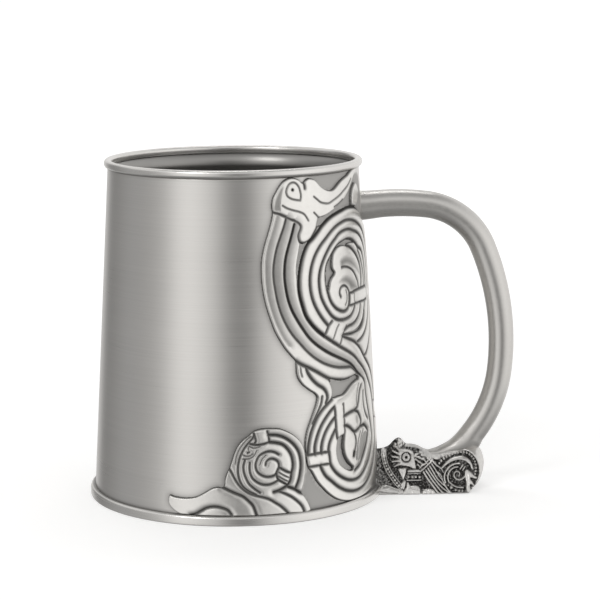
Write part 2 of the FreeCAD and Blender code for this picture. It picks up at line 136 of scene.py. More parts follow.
class Canvas:
    """A flat sheet of heights, in millimetres, over (across, up)."""

    def __init__(self, a0, a1, b0, b1, step):
        self.step = step
        self.a = a0 + step * np.arange(int(round((a1 - a0) / step)) + 1)
        self.b = b0 + step * np.arange(int(round((b1 - b0) / step)) + 1)
        self.A, self.B = np.meshgrid(self.a, self.b)
        self.cut = np.zeros(self.A.shape)
        self.lift = np.zeros(self.A.shape)
        self.dark = np.zeros(self.A.shape)

    def window(self, lo, hi, pad):
        i0 = max(0, int((lo[0] - pad - self.a[0]) / self.step))
        i1 = min(len(self.a), int((hi[0] + pad - self.a[0]) / self.step) + 2)
        j0 = max(0, int((lo[1] - pad - self.b[0]) / self.step))
        j1 = min(len(self.b), int((hi[1] + pad - self.b[0]) / self.step) + 2)
        return j0, j1, i0, i1

    def distance(self, pts, reach):
        """Distance to a polyline within reach, with the share of its length at the nearest point."""
        D = np.full(self.A.shape, 1e3)
        T = np.zeros(self.A.shape)
        seg = np.hypot(*np.diff(pts, axis=0).T)
        total = max(seg.sum(), 1e-9)
        run = 0.0
        for p, q, L in zip(pts[:-1], pts[1:], seg):
            j0, j1, i0, i1 = self.window(np.minimum(p, q), np.maximum(p, q), reach)
            if j1 <= j0 or i1 <= i0 or L < 1e-9:
                run += L
                continue
            A, B = self.A[j0:j1, i0:i1] - p[0], self.B[j0:j1, i0:i1] - p[1]
            d = (q - p) / L
            t = np.clip(A * d[0] + B * d[1], 0, L)
            e = np.hypot(A - t * d[0], B - t * d[1])
            sub = D[j0:j1, i0:i1]
            near = e < sub
            sub[near] = e[near]
            T[j0:j1, i0:i1][near] = ((run + t) / total)[near]
            run += L
        return D, T

    def beside(self, pts, reach):
        """+1 on the left-hand side of a line as it runs, seen with across to the left, -1 on the other."""
        D = np.full(self.A.shape, 1e3)
        side = np.zeros(self.A.shape)
        for p, q in zip(pts[:-1], pts[1:]):
            L = np.hypot(*(q - p))
            j0, j1, i0, i1 = self.window(np.minimum(p, q), np.maximum(p, q), reach)
            if j1 <= j0 or i1 <= i0 or L < 1e-9:
                continue
            A, B = self.A[j0:j1, i0:i1] - p[0], self.B[j0:j1, i0:i1] - p[1]
            d = (q - p) / L
            t = np.clip(A * d[0] + B * d[1], 0, L)
            e = np.hypot(A - t * d[0], B - t * d[1])
            sub = D[j0:j1, i0:i1]
            near = e < sub
            sub[near] = e[near]
            side[j0:j1, i0:i1][near] = np.sign(B * d[0] - A * d[1])[near] * -1
        return side

    def signed(self, pts, reach):
        """Distance to a closed outline, positive inside it, limited to reach."""
        D, _ = self.distance(pts, reach)
        D = np.minimum(D, reach)
        inside = np.zeros(self.A.shape, bool)
        j0, j1, i0, i1 = self.window(pts.min(0), pts.max(0), 0.0)
        A, B = self.A[j0:j1, i0:i1], self.B[j0:j1, i0:i1]
        part = np.zeros(A.shape, bool)
        for (x1, y1), (x2, y2) in zip(pts[:-1], pts[1:]):
            if y1 == y2:
                continue
            rows = (B > min(y1, y2)) & (B <= max(y1, y2))
            part ^= rows & (A < (B - y1) * (x2 - x1) / (y2 - y1) + x1)
        inside[j0:j1, i0:i1] = part
        return np.where(inside, D, -D)

    def groove(self, pts, depth=0.60, half=0.20, round_=1.5, dark=1.0, soft=0.34, spl=True, taper=0.0, lean=0.0):
        """A cut along a line. With lean, the strand on the inner side of the line climbs away from it over that width,
        and that slope is painted darker: painted shade.
        """
        p = spline(pts) if spl else np.asarray(pts, float)
        D, T = self.distance(p, half + max(round_, lean) + 0.4)
        e = D - half
        if lean:
            side = self.beside(p, half + lean + 0.4)
            slope = 0.80 * depth * np.clip(1 - e / lean, 0, 1) ** 1.15
            self.cut = np.maximum(self.cut, np.where((side > 0) & (e > 0), slope, 0))
            # the climbing slope is painted darker too: painted shade on that side of the strand
            self.dark = np.maximum(self.dark, np.where((side > 0) & (e > 0), 0.36 * smooth(1.25 * (1 - e / (0.85 * lean))), 0))
            round_ = np.where(side > 0, 0.55, 0.75)
        k = 1.0
        if taper:
            k = smooth(np.minimum(T, 1 - T) / taper)
            k = 0.25 + 0.75 * k
        self.cut = np.maximum(self.cut, depth * k * (1 - rounded(e / round_)))
        self.dark = np.maximum(self.dark, dark * k * np.exp(-(np.maximum(e, 0) / soft) ** 2))

    def region(self, pts, amount, edge=0.6, spl=True, lip=0.0):
        """Raises (or lowers) what is inside an outline, with a soft edge."""
        p = spline(pts, closed=True) if spl else np.vstack([pts, pts[0]])
        D = self.signed(np.asarray(p, float), edge + 1.0)
        self.lift += amount * smooth((D + lip) / edge)

# ------------------------------------------------------------------ flank ornament
KNOT = [
    (20.4, 115.7), (23.0, 114.9), (25.2, 114.0), (27.7, 113.3), (30.2, 112.4), (32.7, 111.0), (34.2, 110.2), (35.6, 109.9),
    (37.4, 110.1), (39.2, 110.8), (41.0, 111.9), (42.5, 113.3), (43.5, 114.1), (44.7, 114.5), (46.1, 114.7), (47.3, 114.2),
    (48.2, 113.3), (49.1, 113.6), (50.0, 114.4), (51.1, 114.9), (52.2, 115.2), (54.0, 115.2), (55.4, 114.7), (56.5, 114.0),
    (57.9, 112.4), (59.0, 110.8), (60.1, 109.0), (60.6, 107.2), (60.6, 105.4), (60.4, 104.0), (61.0, 101.2), (62.0, 98.0),
    (63.1, 94.9), (64.0, 91.9), (64.7, 88.5), (64.9, 84.6), (64.7, 80.4), (64.1, 76.1), (63.2, 72.3), (62.0, 68.4),
    (60.5, 64.3), (59.0, 61.5), (57.3, 58.7), (55.3, 56.2), (53.7, 54.3), (53.5, 52.0), (53.4, 50.0), (52.8, 48.0), (51.3, 45.9),
    (48.9, 43.9), (46.8, 42.4), (45.9, 41.0), (46.3, 39.3), (47.2, 37.1), (48.5, 34.4), (50.2, 30.6), (51.0, 27.6), (51.2, 24.6),
    (51.0, 22.3), (50.9, 20.2), (50.4, 17.9), (49.5, 16.6), (48.7, 15.1), (47.3, 12.5), (45.1, 9.8), (42.4, 7.1), (39.7, 5.2), (37.3, 4.2),
    (34.9, 3.6), (31.0, 3.4), (27.0, 3.5), (22.0, 4.3), (17.5, 6.5), (13.6, 10.0), (10.6, 14.8), (9.0, 20.8), (8.6, 27.0), (8.6, 33.0),
    (8.2, 40.0), (7.4, 47.0), (6.4, 54.0), (5.2, 62.0), (4.4, 70.0), (4.2, 78.0), (5.0, 86.0), (7.6, 93.0), (9.6, 96.4),
    (12.6, 99.2), (16.4, 101.6), (20.0, 103.0), (23.4, 103.6), (26.6, 103.5), (30.0, 103.0), (33.4, 102.3), (36.2, 101.5), (38.6, 100.4),
    (41.4, 98.7), (43.1, 98.5), (42.9, 99.7), (42.2, 101.0), (39.2, 101.7), (36.4, 102.6), (33.5, 103.8), (29.6, 105.6), (26.8, 107.3),
    (24.4, 109.2), (22.0, 111.6), (19.6, 113.6), (17.4, 114.9), (17.2, 115.8),
]
# leaf beside the handle joint
LEAF = [
    (18.4, 110.9), (16.5, 109.4), (16.0, 107.3), (17.0, 105.2), (18.5, 103.5), (20.9, 102.3), (22.5, 103.2), (22.9, 105.5), (22.4, 107.6), (21.1, 109.5),
]
KNOT_HOLES = [
    [(47.3, 93.7), (49.3, 93.0), (50.3, 93.3), (51.3, 90.0), (52.1, 86.4), (52.3, 83.6), (51.9, 81.0), (51.4, 84.0), (50.3, 88.2), (48.7, 91.7)],
    [(25.6, 45.3), (28.0, 45.5), (30.5, 45.1), (33.9, 45.0), (37.3, 45.7), (39.9, 46.4), (40.0, 45.2), (39.5, 43.5), (39.4, 41.6),
     (39.6, 40.2), (37.3, 40.3), (34.4, 40.5), (32.3, 41.5), (30.9, 42.4), (28.9, 43.3), (26.8, 44.0), (24.8, 44.3)],
    [(35.5, 26.4), (36.8, 26.1), (38.0, 25.5), (38.6, 24.0), (38.9, 21.8), (38.7, 19.4), (37.9, 17.4), (36.3, 15.8), (34.6, 14.7),
     (32.4, 13.8), (31.2, 13.9), (31.9, 14.9), (33.5, 16.3), (35.0, 18.4), (35.8, 20.7), (36.0, 23.5)],
    [(19.6, 88.4), (21.8, 90.5), (24.9, 91.9), (28.0, 92.3), (30.3, 91.9), (33.1, 91.1), (35.3, 89.6), (37.4, 87.4), (39.1, 85.0),
     (39.8, 82.4), (39.8, 78.9), (39.3, 76.3), (38.9, 77.6), (38.4, 79.3), (37.3, 80.8), (35.9, 82.0), (36.9, 83.4), (37.1, 85.3),
     (36.7, 87.2), (35.9, 88.9), (34.2, 90.3), (31.9, 90.9), (29.6, 90.7), (28.2, 90.4), (27.4, 91.0), (25.5, 91.2), (22.6, 90.8), (20.9, 89.3), (20.1, 87.9)],
    [(16.9, 67.4), (18.4, 64.6), (20.3, 62.9), (23.2, 61.5), (26.5, 60.7), (29.0, 60.5), (26.0, 60.3), (22.6, 60.6), (19.6, 61.8), (17.4, 63.8), (16.2, 66.4)],
]
# engraved and strand-dividing lines: (points, kind)
G, T, B, N, S = "groove", "thin", "broad", "narrow", "soft"
KNOT_LINES = [
    # rings of the upper roundel
    (B, [(9.6, 96.4), (12.4, 98.8), (16.0, 101.2), (20.0, 102.6), (24.0, 103.2), (27.0, 103.2), (30.0, 102.7), (33.4, 102.0), (36.4, 101.1), (38.5, 100.1), (41.1, 98.4), (43.2, 96.5), (45.4, 94.6),
         (47.1, 93.4), (48.4, 91.7), (50.1, 88.1), (51.2, 83.8), (51.6, 80.4), (51.4, 76.5), (50.5, 72.7), (49.2, 68.9), (47.1, 65.9), (44.6, 63.4), (42.1, 61.5)]),
    (G, [(6.9, 80.0), (7.4, 85.0), (9.4, 90.0), (13.2, 94.1), (18.6, 97.1), (23.0, 98.5), (27.7, 99.0), (30.5, 98.6), (33.4, 97.8), (36.4, 96.3), (39.4, 94.1), (42.4, 91.6), (45.0, 88.2),
         (46.7, 83.9), (47.2, 80.0), (46.9, 76.4), (45.9, 73.0), (44.1, 69.6), (42.2, 67.0), (40.1, 64.7)]),
    (G, [(9.9, 74.0), (9.9, 80.0), (11.0, 85.6), (13.3, 89.5), (15.6, 91.7), (17.7, 93.1), (20.5, 94.3), (23.0, 95.0), (25.6, 95.7), (29.0, 95.8), (32.6, 94.9), (34.7, 93.5), (37.3, 91.5),
         (39.4, 89.2), (41.1, 86.8), (42.6, 83.8), (43.3, 80.8), (43.3, 78.2), (42.7, 74.8), (41.5, 72.2), (40.0, 69.9), (38.1, 67.7), (35.6, 66.2), (32.6, 65.7), (30.0, 65.9), (28.0, 66.4), (26.2, 67.6), (24.9, 69.2), (24.5, 70.2)]),
    (G, [(13.2, 74.6), (13.2, 79.0), (13.8, 83.0), (14.9, 85.8), (16.4, 87.6), (19.3, 88.9), (21.8, 90.7), (24.9, 92.2), (28.0, 92.6), (30.3, 92.2), (33.1, 91.4), (35.3, 89.9), (37.5, 87.7), (39.4, 85.2), (40.1, 82.4),
         (40.1, 78.9), (39.5, 75.8), (38.4, 72.8), (36.6, 70.6), (34.4, 69.2), (31.8, 68.5), (29.9, 69.0), (28.7, 70.3), (28.2, 72.2), (28.1, 74.2)]),
    # bands under the strap, lower left
    (G, [(20.0, 70.0), (20.5, 68.0), (21.6, 66.3), (24.4, 64.3), (27.0, 63.4), (30.0, 63.0), (32.2, 62.1)]),
    (G, [(15.2, 70.1), (16.4, 67.6), (18.5, 64.0), (21.4, 62.0), (24.9, 60.8), (28.0, 60.4), (33.0, 60.6)]),
    (G, [(9.6, 70.0), (11.4, 65.6), (13.4, 62.6), (15.8, 60.2), (18.6, 58.5), (21.6, 57.4), (24.4, 56.8)]),
    (G, [(7.2, 68.0), (8.6, 62.0), (10.8, 57.6), (13.6, 54.4), (17.0, 51.8), (19.4, 51.0)]),
    # strap with the hook end
    (N, [(13.4, 70.1), (17.0, 70.0), (21.0, 70.2), (24.5, 70.1), (26.6, 70.0), (28.4, 70.0)]),
    (N, [(13.4, 74.7), (17.0, 74.7), (21.0, 74.7), (24.5, 74.5), (26.6, 74.2), (28.2, 74.2)]),
    (T, [(25.3, 74.2), (25.5, 72.4), (25.3, 70.4)]),
    (N, [(13.3, 70.2), (13.1, 72.4), (13.3, 74.6)]),
    # lobes inside the upper roundel
    (G, [(18.6, 75.2), (18.1, 77.5), (18.1, 80.4), (18.9, 83.0), (20.2, 85.0), (22.4, 87.2), (24.6, 88.8), (26.8, 90.0), (28.4, 90.5)]),
    (N, [(16.0, 75.0), (15.7, 78.0), (16.2, 81.0), (17.4, 84.0), (18.9, 86.4), (20.2, 87.9)]),
    (N, [(21.1, 75.0), (21.8, 77.4), (23.0, 79.2), (24.9, 81.3), (27.4, 82.8), (30.0, 83.5), (32.0, 83.5)]),
    (N, [(33.3, 73.6), (33.9, 74.9), (33.5, 76.3), (32.4, 77.1), (31.0, 77.2), (29.8, 76.6), (28.9, 75.6), (28.3, 74.4)]),
    (T, [(30.4, 75.6), (29.9, 73.6), (30.3, 71.6), (31.2, 70.6)]),
    # double strap at the foot of the upper roundel
    (N, [(31.2, 63.4), (32.3, 62.1), (33.5, 60.5), (34.4, 58.7), (35.2, 57.1)]),
    (N, [(38.3, 66.2), (39.9, 64.8), (41.0, 63.2), (42.1, 61.4)]),
    (T, [(35.3, 64.6), (36.4, 63.4), (37.2, 62.0), (38.7, 59.3)]),
    # neck strands
    (G, [(35.2, 57.0), (38.6, 59.1), (42.1, 61.4)]),
    (B, [(52.5, 99.8), (53.2, 97.6), (54.2, 94.7), (55.2, 91.9), (56.1, 88.9), (56.6, 85.6), (56.7, 82.1), (56.3, 78.3), (55.6, 74.8), (54.4, 71.4), (52.6, 68.0),
         (50.5, 64.7), (48.4, 61.8), (45.8, 59.3), (42.8, 57.1), (39.8, 55.3), (36.8, 53.8), (33.4, 52.2), (30.0, 50.5), (27.6, 48.8), (25.2, 46.5), (22.7, 44.7)], 3.2),
    (G, [(55.6, 101.8), (56.5, 99.1), (57.8, 96.0), (59.1, 92.7), (60.1, 88.9), (60.6, 85.5), (60.6, 82.1), (60.1, 78.3), (59.4, 74.4), (58.2, 70.3), (56.5, 66.5),
         (54.4, 63.1), (51.8, 60.0), (49.2, 57.1), (46.7, 54.9), (43.7, 52.9), (40.3, 51.3), (36.4, 50.1), (32.6, 49.5), (29.8, 49.1), (28.0, 48.0), (26.6, 46.8), (25.6, 45.9)], 2.9),
    (S, [(58.9, 103.2), (60.0, 99.8), (61.3, 96.2), (62.5, 92.7), (63.3, 88.9), (63.5, 85.0), (63.4, 81.0), (62.9, 76.6), (61.9, 72.4), (60.7, 68.6), (59.3, 65.2), (57.6, 62.0), (56.0, 59.8)], 2.2),
    (G, [(53.7, 54.3), (51.8, 53.0), (49.2, 51.7), (46.2, 50.0), (42.8, 47.9), (40.7, 46.8), (37.3, 45.9), (33.4, 45.3), (30.0, 45.4), (27.0, 45.7)]),
    # strands that run down behind the lower roundel
    (G, [(35.2, 57.0), (32.6, 55.6), (30.0, 54.2), (26.8, 52.2), (24.0, 49.8), (21.3, 47.6), (18.6, 44.9), (16.6, 42.2), (14.6, 39.1), (13.4, 35.6), (12.7, 31.0), (12.4, 26.0), (12.8, 20.6),
         (14.4, 15.6), (17.9, 11.2), (19.3, 9.9), (22.0, 8.3), (25.4, 6.9), (28.8, 6.3), (32.2, 6.5), (35.6, 7.5), (39.0, 9.5), (41.4, 11.6), (43.8, 13.8), (45.2, 16.0), (46.0, 18.0)]),
    (G, [(33.5, 60.3), (30.0, 58.8), (26.4, 57.2), (22.8, 54.6), (20.2, 51.8), (18.0, 49.6), (15.2, 47.2), (12.7, 44.4), (11.0, 40.6), (10.0, 36.0), (9.2, 30.0)]),
    # leg
    (G, [(49.9, 51.8), (49.5, 50.2), (48.5, 48.4), (47.0, 46.6), (45.4, 45.2), (43.5, 43.9), (42.3, 42.4), (41.9, 40.6), (42.6, 38.7)]),
    (T, [(52.1, 53.0), (52.1, 50.6), (51.7, 48.9)]),
    (N, [(44.2, 41.2), (44.7, 39.0), (45.6, 37.2), (47.2, 34.6), (48.4, 32.6)]),
    (N, [(40.2, 39.7), (39.5, 41.6), (39.6, 43.5), (40.4, 45.6), (41.2, 46.8)]),
    # lower roundel
    (G, [(40.0, 39.6), (41.7, 38.5), (44.1, 36.8), (45.9, 35.0), (47.3, 33.0), (49.0, 29.6), (50.1, 25.6), (50.5, 22.2)]),
    (G, [(39.1, 36.8), (40.7, 35.8), (42.4, 34.3), (44.5, 32.0), (45.9, 29.8), (47.1, 27.1), (47.8, 24.7), (47.9, 22.1)]),
    (G, [(39.1, 33.2), (41.1, 31.6), (43.1, 29.3), (44.6, 26.5), (45.2, 24.5), (45.4, 22.1)]),
    (G, [(39.1, 29.0), (40.7, 26.9), (41.9, 24.8), (42.4, 22.8), (42.1, 20.0), (41.9, 18.0), (41.0, 16.2), (39.4, 14.2), (37.0, 12.3), (34.3, 10.9), (31.2, 10.2), (28.1, 10.4),
         (25.4, 11.5), (22.7, 13.3), (19.8, 15.6), (17.6, 18.6), (16.4, 22.0), (16.6, 25.4), (17.3, 28.4), (18.4, 32.0), (19.3, 35.4), (19.9, 38.8), (20.3, 42.2), (22.0, 44.4)]),
    (N, [(39.0, 37.0), (38.9, 33.0), (38.8, 29.0), (38.3, 25.8), (36.8, 26.3), (35.0, 26.9), (34.8, 30.0), (34.8, 34.0), (34.9, 37.2)]),
    (G, [(23.3, 41.6), (24.6, 40.2), (25.4, 38.1), (26.1, 36.1), (27.1, 34.6), (28.8, 33.9), (31.5, 33.6), (34.7, 32.9)]),
    (T, [(25.6, 42.6), (26.6, 40.4), (27.4, 38.0), (27.6, 35.8)]),
    (G, [(28.6, 33.8), (26.9, 33.0), (25.5, 31.0), (25.0, 29.3), (25.7, 27.8), (27.4, 26.9), (29.2, 26.5), (30.4, 27.2), (31.6, 28.3), (33.2, 29.3), (34.7, 29.7)]),
    (N, [(29.9, 26.7), (29.1, 24.8), (28.9, 22.8), (29.6, 20.6), (30.1, 19.4)]),
    (B, [(30.0, 19.6), (30.4, 18.5)]),
    (N, [(35.0, 26.8), (35.6, 23.5), (35.5, 20.7), (34.6, 18.3), (32.8, 16.0), (31.2, 14.6)]),
    (G, [(25.2, 27.6), (22.9, 27.6), (21.2, 26.4), (20.0, 24.8), (21.3, 21.6), (23.2, 18.9), (25.3, 16.6), (27.6, 14.5), (30.2, 13.4)]),
    (T, [(24.0, 26.4), (26.0, 23.6), (27.4, 20.4), (28.6, 17.2)]),
    (T, [(26.0, 26.0), (27.6, 23.2), (28.4, 20.4), (29.4, 17.0)]),
    (N, [(22.4, 39.4), (22.7, 36.6), (22.4, 34.0), (21.4, 31.4), (19.8, 29.2)]),
    (T, [(9.2, 33.8), (12.0, 34.0)]),
    (T, [(9.0, 27.8), (12.0, 28.0)]),
    # strap on the right of the lower roundel
    (N, [(42.1, 22.1), (46.0, 22.3), (50.6, 22.2)]),
    (N, [(42.0, 18.0), (46.0, 18.1), (50.6, 18.1)]),
    (N, [(42.1, 22.1), (42.0, 20.0), (42.0, 18.0)]),
    # head
    (T, [(29.9, 108.4), (32.0, 107.5), (34.9, 106.5), (37.4, 105.7), (39.2, 105.8), (41.4, 106.4), (42.8, 107.4), (44.3, 108.5)]),
    (T, [(29.6, 106.2), (32.0, 105.1), (34.6, 104.2)]),
    (T, [(56.9, 106.3), (55.4, 105.4), (52.9, 104.5), (50.4, 103.8), (48.6, 102.9), (47.7, 101.8), (47.0, 100.7)]),
    (N, [(48.4, 113.6), (48.0, 112.4), (47.9, 111.4)]),
    (T, [(50.0, 107.7), (49.7, 109.0), (49.9, 110.4), (50.4, 112.0), (51.5, 113.3), (52.6, 113.7), (54.0, 113.3), (54.9, 112.2), (55.4, 110.6), (54.9, 109.3), (53.6, 108.4), (51.8, 107.9), (50.0, 107.6)]),
    (N, [(42.4, 101.2), (43.0, 99.6), (43.6, 97.9), (44.7, 96.4), (45.9, 94.9)]),
    (T, [(42.4, 101.2), (43.6, 102.4), (44.5, 103.2)]),
    (N, [(60.4, 104.2), (58.3, 103.6), (55.8, 102.5), (54.0, 101.6), (52.2, 100.9), (50.7, 100.0), (50.1, 98.9), (50.4, 97.8), (51.1, 96.4), (51.1, 94.9), (50.6, 93.8), (49.3, 93.3), (47.4, 93.8), (45.9, 94.8)]),
    (T, [(22.8, 112.6), (25.6, 110.6), (28.4, 109.2), (30.4, 108.2)]),
]
PUPIL = (52.9, 111.2)
KNOT_STRAPS = [
    ([(13.3, 70.2), (25.4, 70.2), (28.3, 70.3), (28.3, 74.1), (25.4, 74.3), (13.3, 74.6)], 0.16),
    ([(32.6, 65.4), (36.0, 66.0), (38.2, 66.1), (40.0, 64.7), (42.0, 61.5), (38.7, 59.4), (35.2, 57.3), (34.4, 58.7), (33.5, 60.6), (32.2, 62.1), (31.4, 63.3)], 0.14),
    ([(42.1, 18.1), (50.9, 18.1), (50.9, 22.1), (42.2, 22.1)], 0.22),
    ([(35.0, 37.0), (38.9, 36.9), (38.6, 28.0), (38.1, 25.9), (36.6, 26.4), (35.1, 26.9)], 0.16),
]
# dishes: (outline, lift, soft edge, painted shade inside the dish)
KNOT_DISHES = [
    ([(20.2, 24.4), (21.6, 25.6), (24.0, 25.4), (26.6, 23.2), (28.2, 20.4), (29.2, 17.4), (28.4, 15.2), (26.4, 15.8), (24.0, 17.8), (21.8, 20.8)], -0.34, 1.2, 0.42),
    ([(33.4, 84.2), (33.4, 86.2), (31.2, 87.5), (28.0, 87.6), (24.6, 86.2), (21.4, 83.4), (18.9, 80.2), (18.5, 77.8), (24.0, 81.4), (28.6, 83.0), (32.0, 82.6)], -0.40, 2.3, 0.62),
    ([(34.6, 78.4), (33.2, 80.1), (30.0, 81.2), (26.6, 80.2), (23.2, 77.8), (21.2, 75.2), (22.4, 74.2), (27.6, 74.4), (29.4, 76.4), (32.4, 77.6)], -0.40, 2.3, 0.62),
    ([(27.0, 32.4), (28.6, 32.2), (29.0, 30.6), (28.2, 28.6), (26.8, 28.6), (26.2, 30.4)], -0.24, 0.8, 0.35),
    ([(60.2, 104.6), (60.0, 107.4), (58.9, 110.0), (57.2, 112.4), (56.2, 112.8), (56.7, 110.8), (57.2, 108.6), (57.5, 106.4), (57.7, 104.4)], -0.26, 0.8, 0.56),
    ([(29.0, 43.4), (32.0, 41.4), (35.6, 39.8), (38.0, 39.0), (38.2, 37.6), (34.0, 37.9), (30.0, 39.6), (26.6, 42.4)], -0.22, 0.9, 0.22),
]

SCROLL = [
    (62.3, 32.5), (60.0, 32.2), (57.7, 31.2), (55.3, 29.7), (53.3, 27.7), (52.0, 25.3), (51.5, 22.7), (51.3, 19.7), (51.6, 16.7), (52.2, 13.3),
    (53.0, 10.0), (52.0, 8.2), (50.8, 5.8), (50.3, 3.4), (58.0, 3.3), (68.0, 3.3), (76.0, 3.4), (90.0, 3.4), (92.0, 3.5), (94.3, 4.8),
    (95.7, 6.3), (96.1, 8.0), (95.6, 9.6), (94.2, 9.3), (92.3, 9.1), (89.7, 9.1), (87.0, 9.6), (85.0, 10.6), (83.3, 11.7), (81.7, 12.7),
    (80.0, 13.2), (78.2, 13.1), (77.7, 14.4), (77.7, 15.4), (77.2, 17.4), (76.3, 19.4), (75.8, 21.0), (75.4, 22.2), (74.7, 24.4), (73.7, 26.7), (72.0, 28.8),
    (70.0, 30.4), (68.4, 31.8), (66.7, 32.4), (64.7, 32.6),
]
SCROLL_HOLES = []
SCROLL_LINES = [
    (G, [(63.7, 30.3), (61.3, 30.1), (59.0, 29.3), (57.0, 28.0), (55.3, 26.3), (54.0, 24.3), (53.3, 22.0), (53.1, 19.3), (53.4, 16.7), (54.1, 14.0), (55.2, 11.5)]),
    (G, [(63.5, 27.9), (61.3, 27.5), (59.3, 26.8), (57.7, 25.3), (56.5, 23.3), (55.9, 21.0), (55.9, 18.7), (56.4, 16.9), (56.9, 14.4), (57.7, 13.1), (58.6, 12.4), (60.6, 11.4), (62.4, 10.9)]),
    (N, [(60.5, 23.5), (61.7, 24.3), (63.3, 24.8), (65.0, 24.5), (66.7, 23.5), (67.7, 21.7), (68.0, 20.0), (67.5, 18.2), (66.3, 17.0), (64.7, 16.3), (63.0, 16.3), (61.8, 16.8), (61.0, 18.3), (60.5, 19.7),
         (60.8, 21.0), (61.7, 21.9), (63.0, 22.3), (64.0, 21.9), (64.7, 21.0), (64.8, 20.3)]),
    (T, [(64.7, 23.6), (66.0, 22.2), (66.7, 20.4)]),
    (N, [(60.8, 15.0), (62.0, 14.2), (64.0, 13.6), (66.0, 13.8), (67.7, 14.7), (69.0, 16.0), (69.7, 17.7), (69.9, 19.3), (69.8, 21.2)]),
    (N, [(66.7, 11.0), (68.3, 12.3), (70.0, 14.0), (71.0, 16.0), (71.7, 18.3), (71.8, 20.3), (71.3, 22.2)]),
    (N, [(68.0, 10.4), (70.3, 11.7), (72.0, 13.3), (73.0, 15.3), (73.5, 17.7), (73.5, 20.0), (73.0, 22.7), (72.2, 24.7), (71.3, 26.3), (70.0, 28.0), (68.8, 29.4), (68.3, 30.6)]),
    (T, [(69.4, 30.2), (71.2, 28.4), (72.8, 26.2), (73.9, 23.6), (74.4, 21.0)]),
    (N, [(76.2, 19.4), (75.3, 17.6), (74.2, 15.3), (72.7, 13.1), (70.7, 11.3), (68.6, 10.3), (66.7, 9.7), (64.0, 8.7), (62.0, 7.3), (60.3, 6.0), (58.7, 4.3), (57.9, 3.3)]),
    (G, [(57.8, 12.4), (55.3, 11.1), (53.8, 9.9), (53.0, 9.6)]),
    (N, [(52.5, 3.4), (53.3, 5.3), (55.0, 7.3), (57.0, 9.0), (59.0, 10.2), (61.0, 11.1), (62.4, 10.9)]),
    (G, [(78.2, 13.0), (77.0, 12.4), (76.3, 12.0), (74.7, 11.2), (72.0, 9.9), (70.3, 8.3), (69.0, 6.7), (68.2, 4.4), (67.9, 3.4)]),
    (G, [(75.7, 3.9), (76.7, 5.3), (78.7, 6.2), (81.0, 6.5), (83.3, 6.0), (85.0, 5.0), (86.7, 3.9), (88.4, 3.4)]),
    # lashings
    (N, [(56.4, 16.9), (58.2, 17.6), (60.4, 19.1)]),
    (N, [(60.6, 19.0), (61.4, 17.0), (60.9, 15.0)]),
    (N, [(58.2, 13.1), (59.4, 14.0), (60.9, 15.0)]),
    (T, [(56.7, 15.2), (58.6, 16.1), (60.9, 17.7)]),
    (T, [(57.3, 14.0), (59.2, 15.0), (61.1, 16.4)]),
    (N, [(64.1, 31.6), (63.7, 30.2), (63.5, 28.2)]),
    (N, [(63.5, 28.0), (65.4, 27.4), (67.6, 27.2), (69.6, 27.6)]),
    (N, [(68.4, 31.2), (68.0, 29.6), (67.8, 28.4), (68.4, 27.4)]),
    (T, [(66.4, 26.6), (68.6, 26.2), (69.9, 26.8), (70.2, 25.6)]),
    (T, [(68.9, 24.2), (69.8, 23.6), (71.4, 23.7), (72.2, 24.4)]),
    (N, [(70.0, 24.8), (70.4, 24.6)]),
    (T, [(67.6, 25.2), (68.6, 23.4), (70.2, 22.6), (72.0, 22.6)]),
]
SCROLL_STRAPS = [
    ([(64.1, 31.8), (63.6, 28.1), (65.5, 27.5), (67.7, 27.4), (68.0, 29.4), (68.5, 31.6)], 0.18),
    ([(56.4, 16.7), (58.2, 17.5), (60.4, 19.0), (61.3, 17.0), (60.8, 15.1), (59.4, 14.1), (58.1, 13.2), (56.9, 14.5)], 0.16),
]
KINDS = {
    G: dict(depth=0.80, half=0.14, round_=2.15, dark=0.88, soft=0.56),
    B: dict(depth=0.88, half=0.26, round_=1.70, dark=1.0, soft=0.56),
    N: dict(depth=0.62, half=0.12, round_=1.20, dark=0.84, soft=0.42),
    T: dict(depth=0.40, half=0.08, round_=0.55, dark=0.72, soft=0.28),
    S: dict(depth=0.34, half=0.08, round_=0.55, dark=0.38, soft=0.40),
}
TOP = 1.0


def seat(pts):
    """Outlines and cuts lie lower than the crests that the layout was drawn on: this moves them round the wall to match."""
    p = np.array(pts, float)
    phi = np.clip(p[:, 0], 1.0, None) / S_RADIUS
    p[:, 0] -= np.clip(0.35 / np.tan(phi), -0.6, 0.6) * smooth(p[:, 0] / 14.0)
    p[:, 1] -= 0.1
    return p


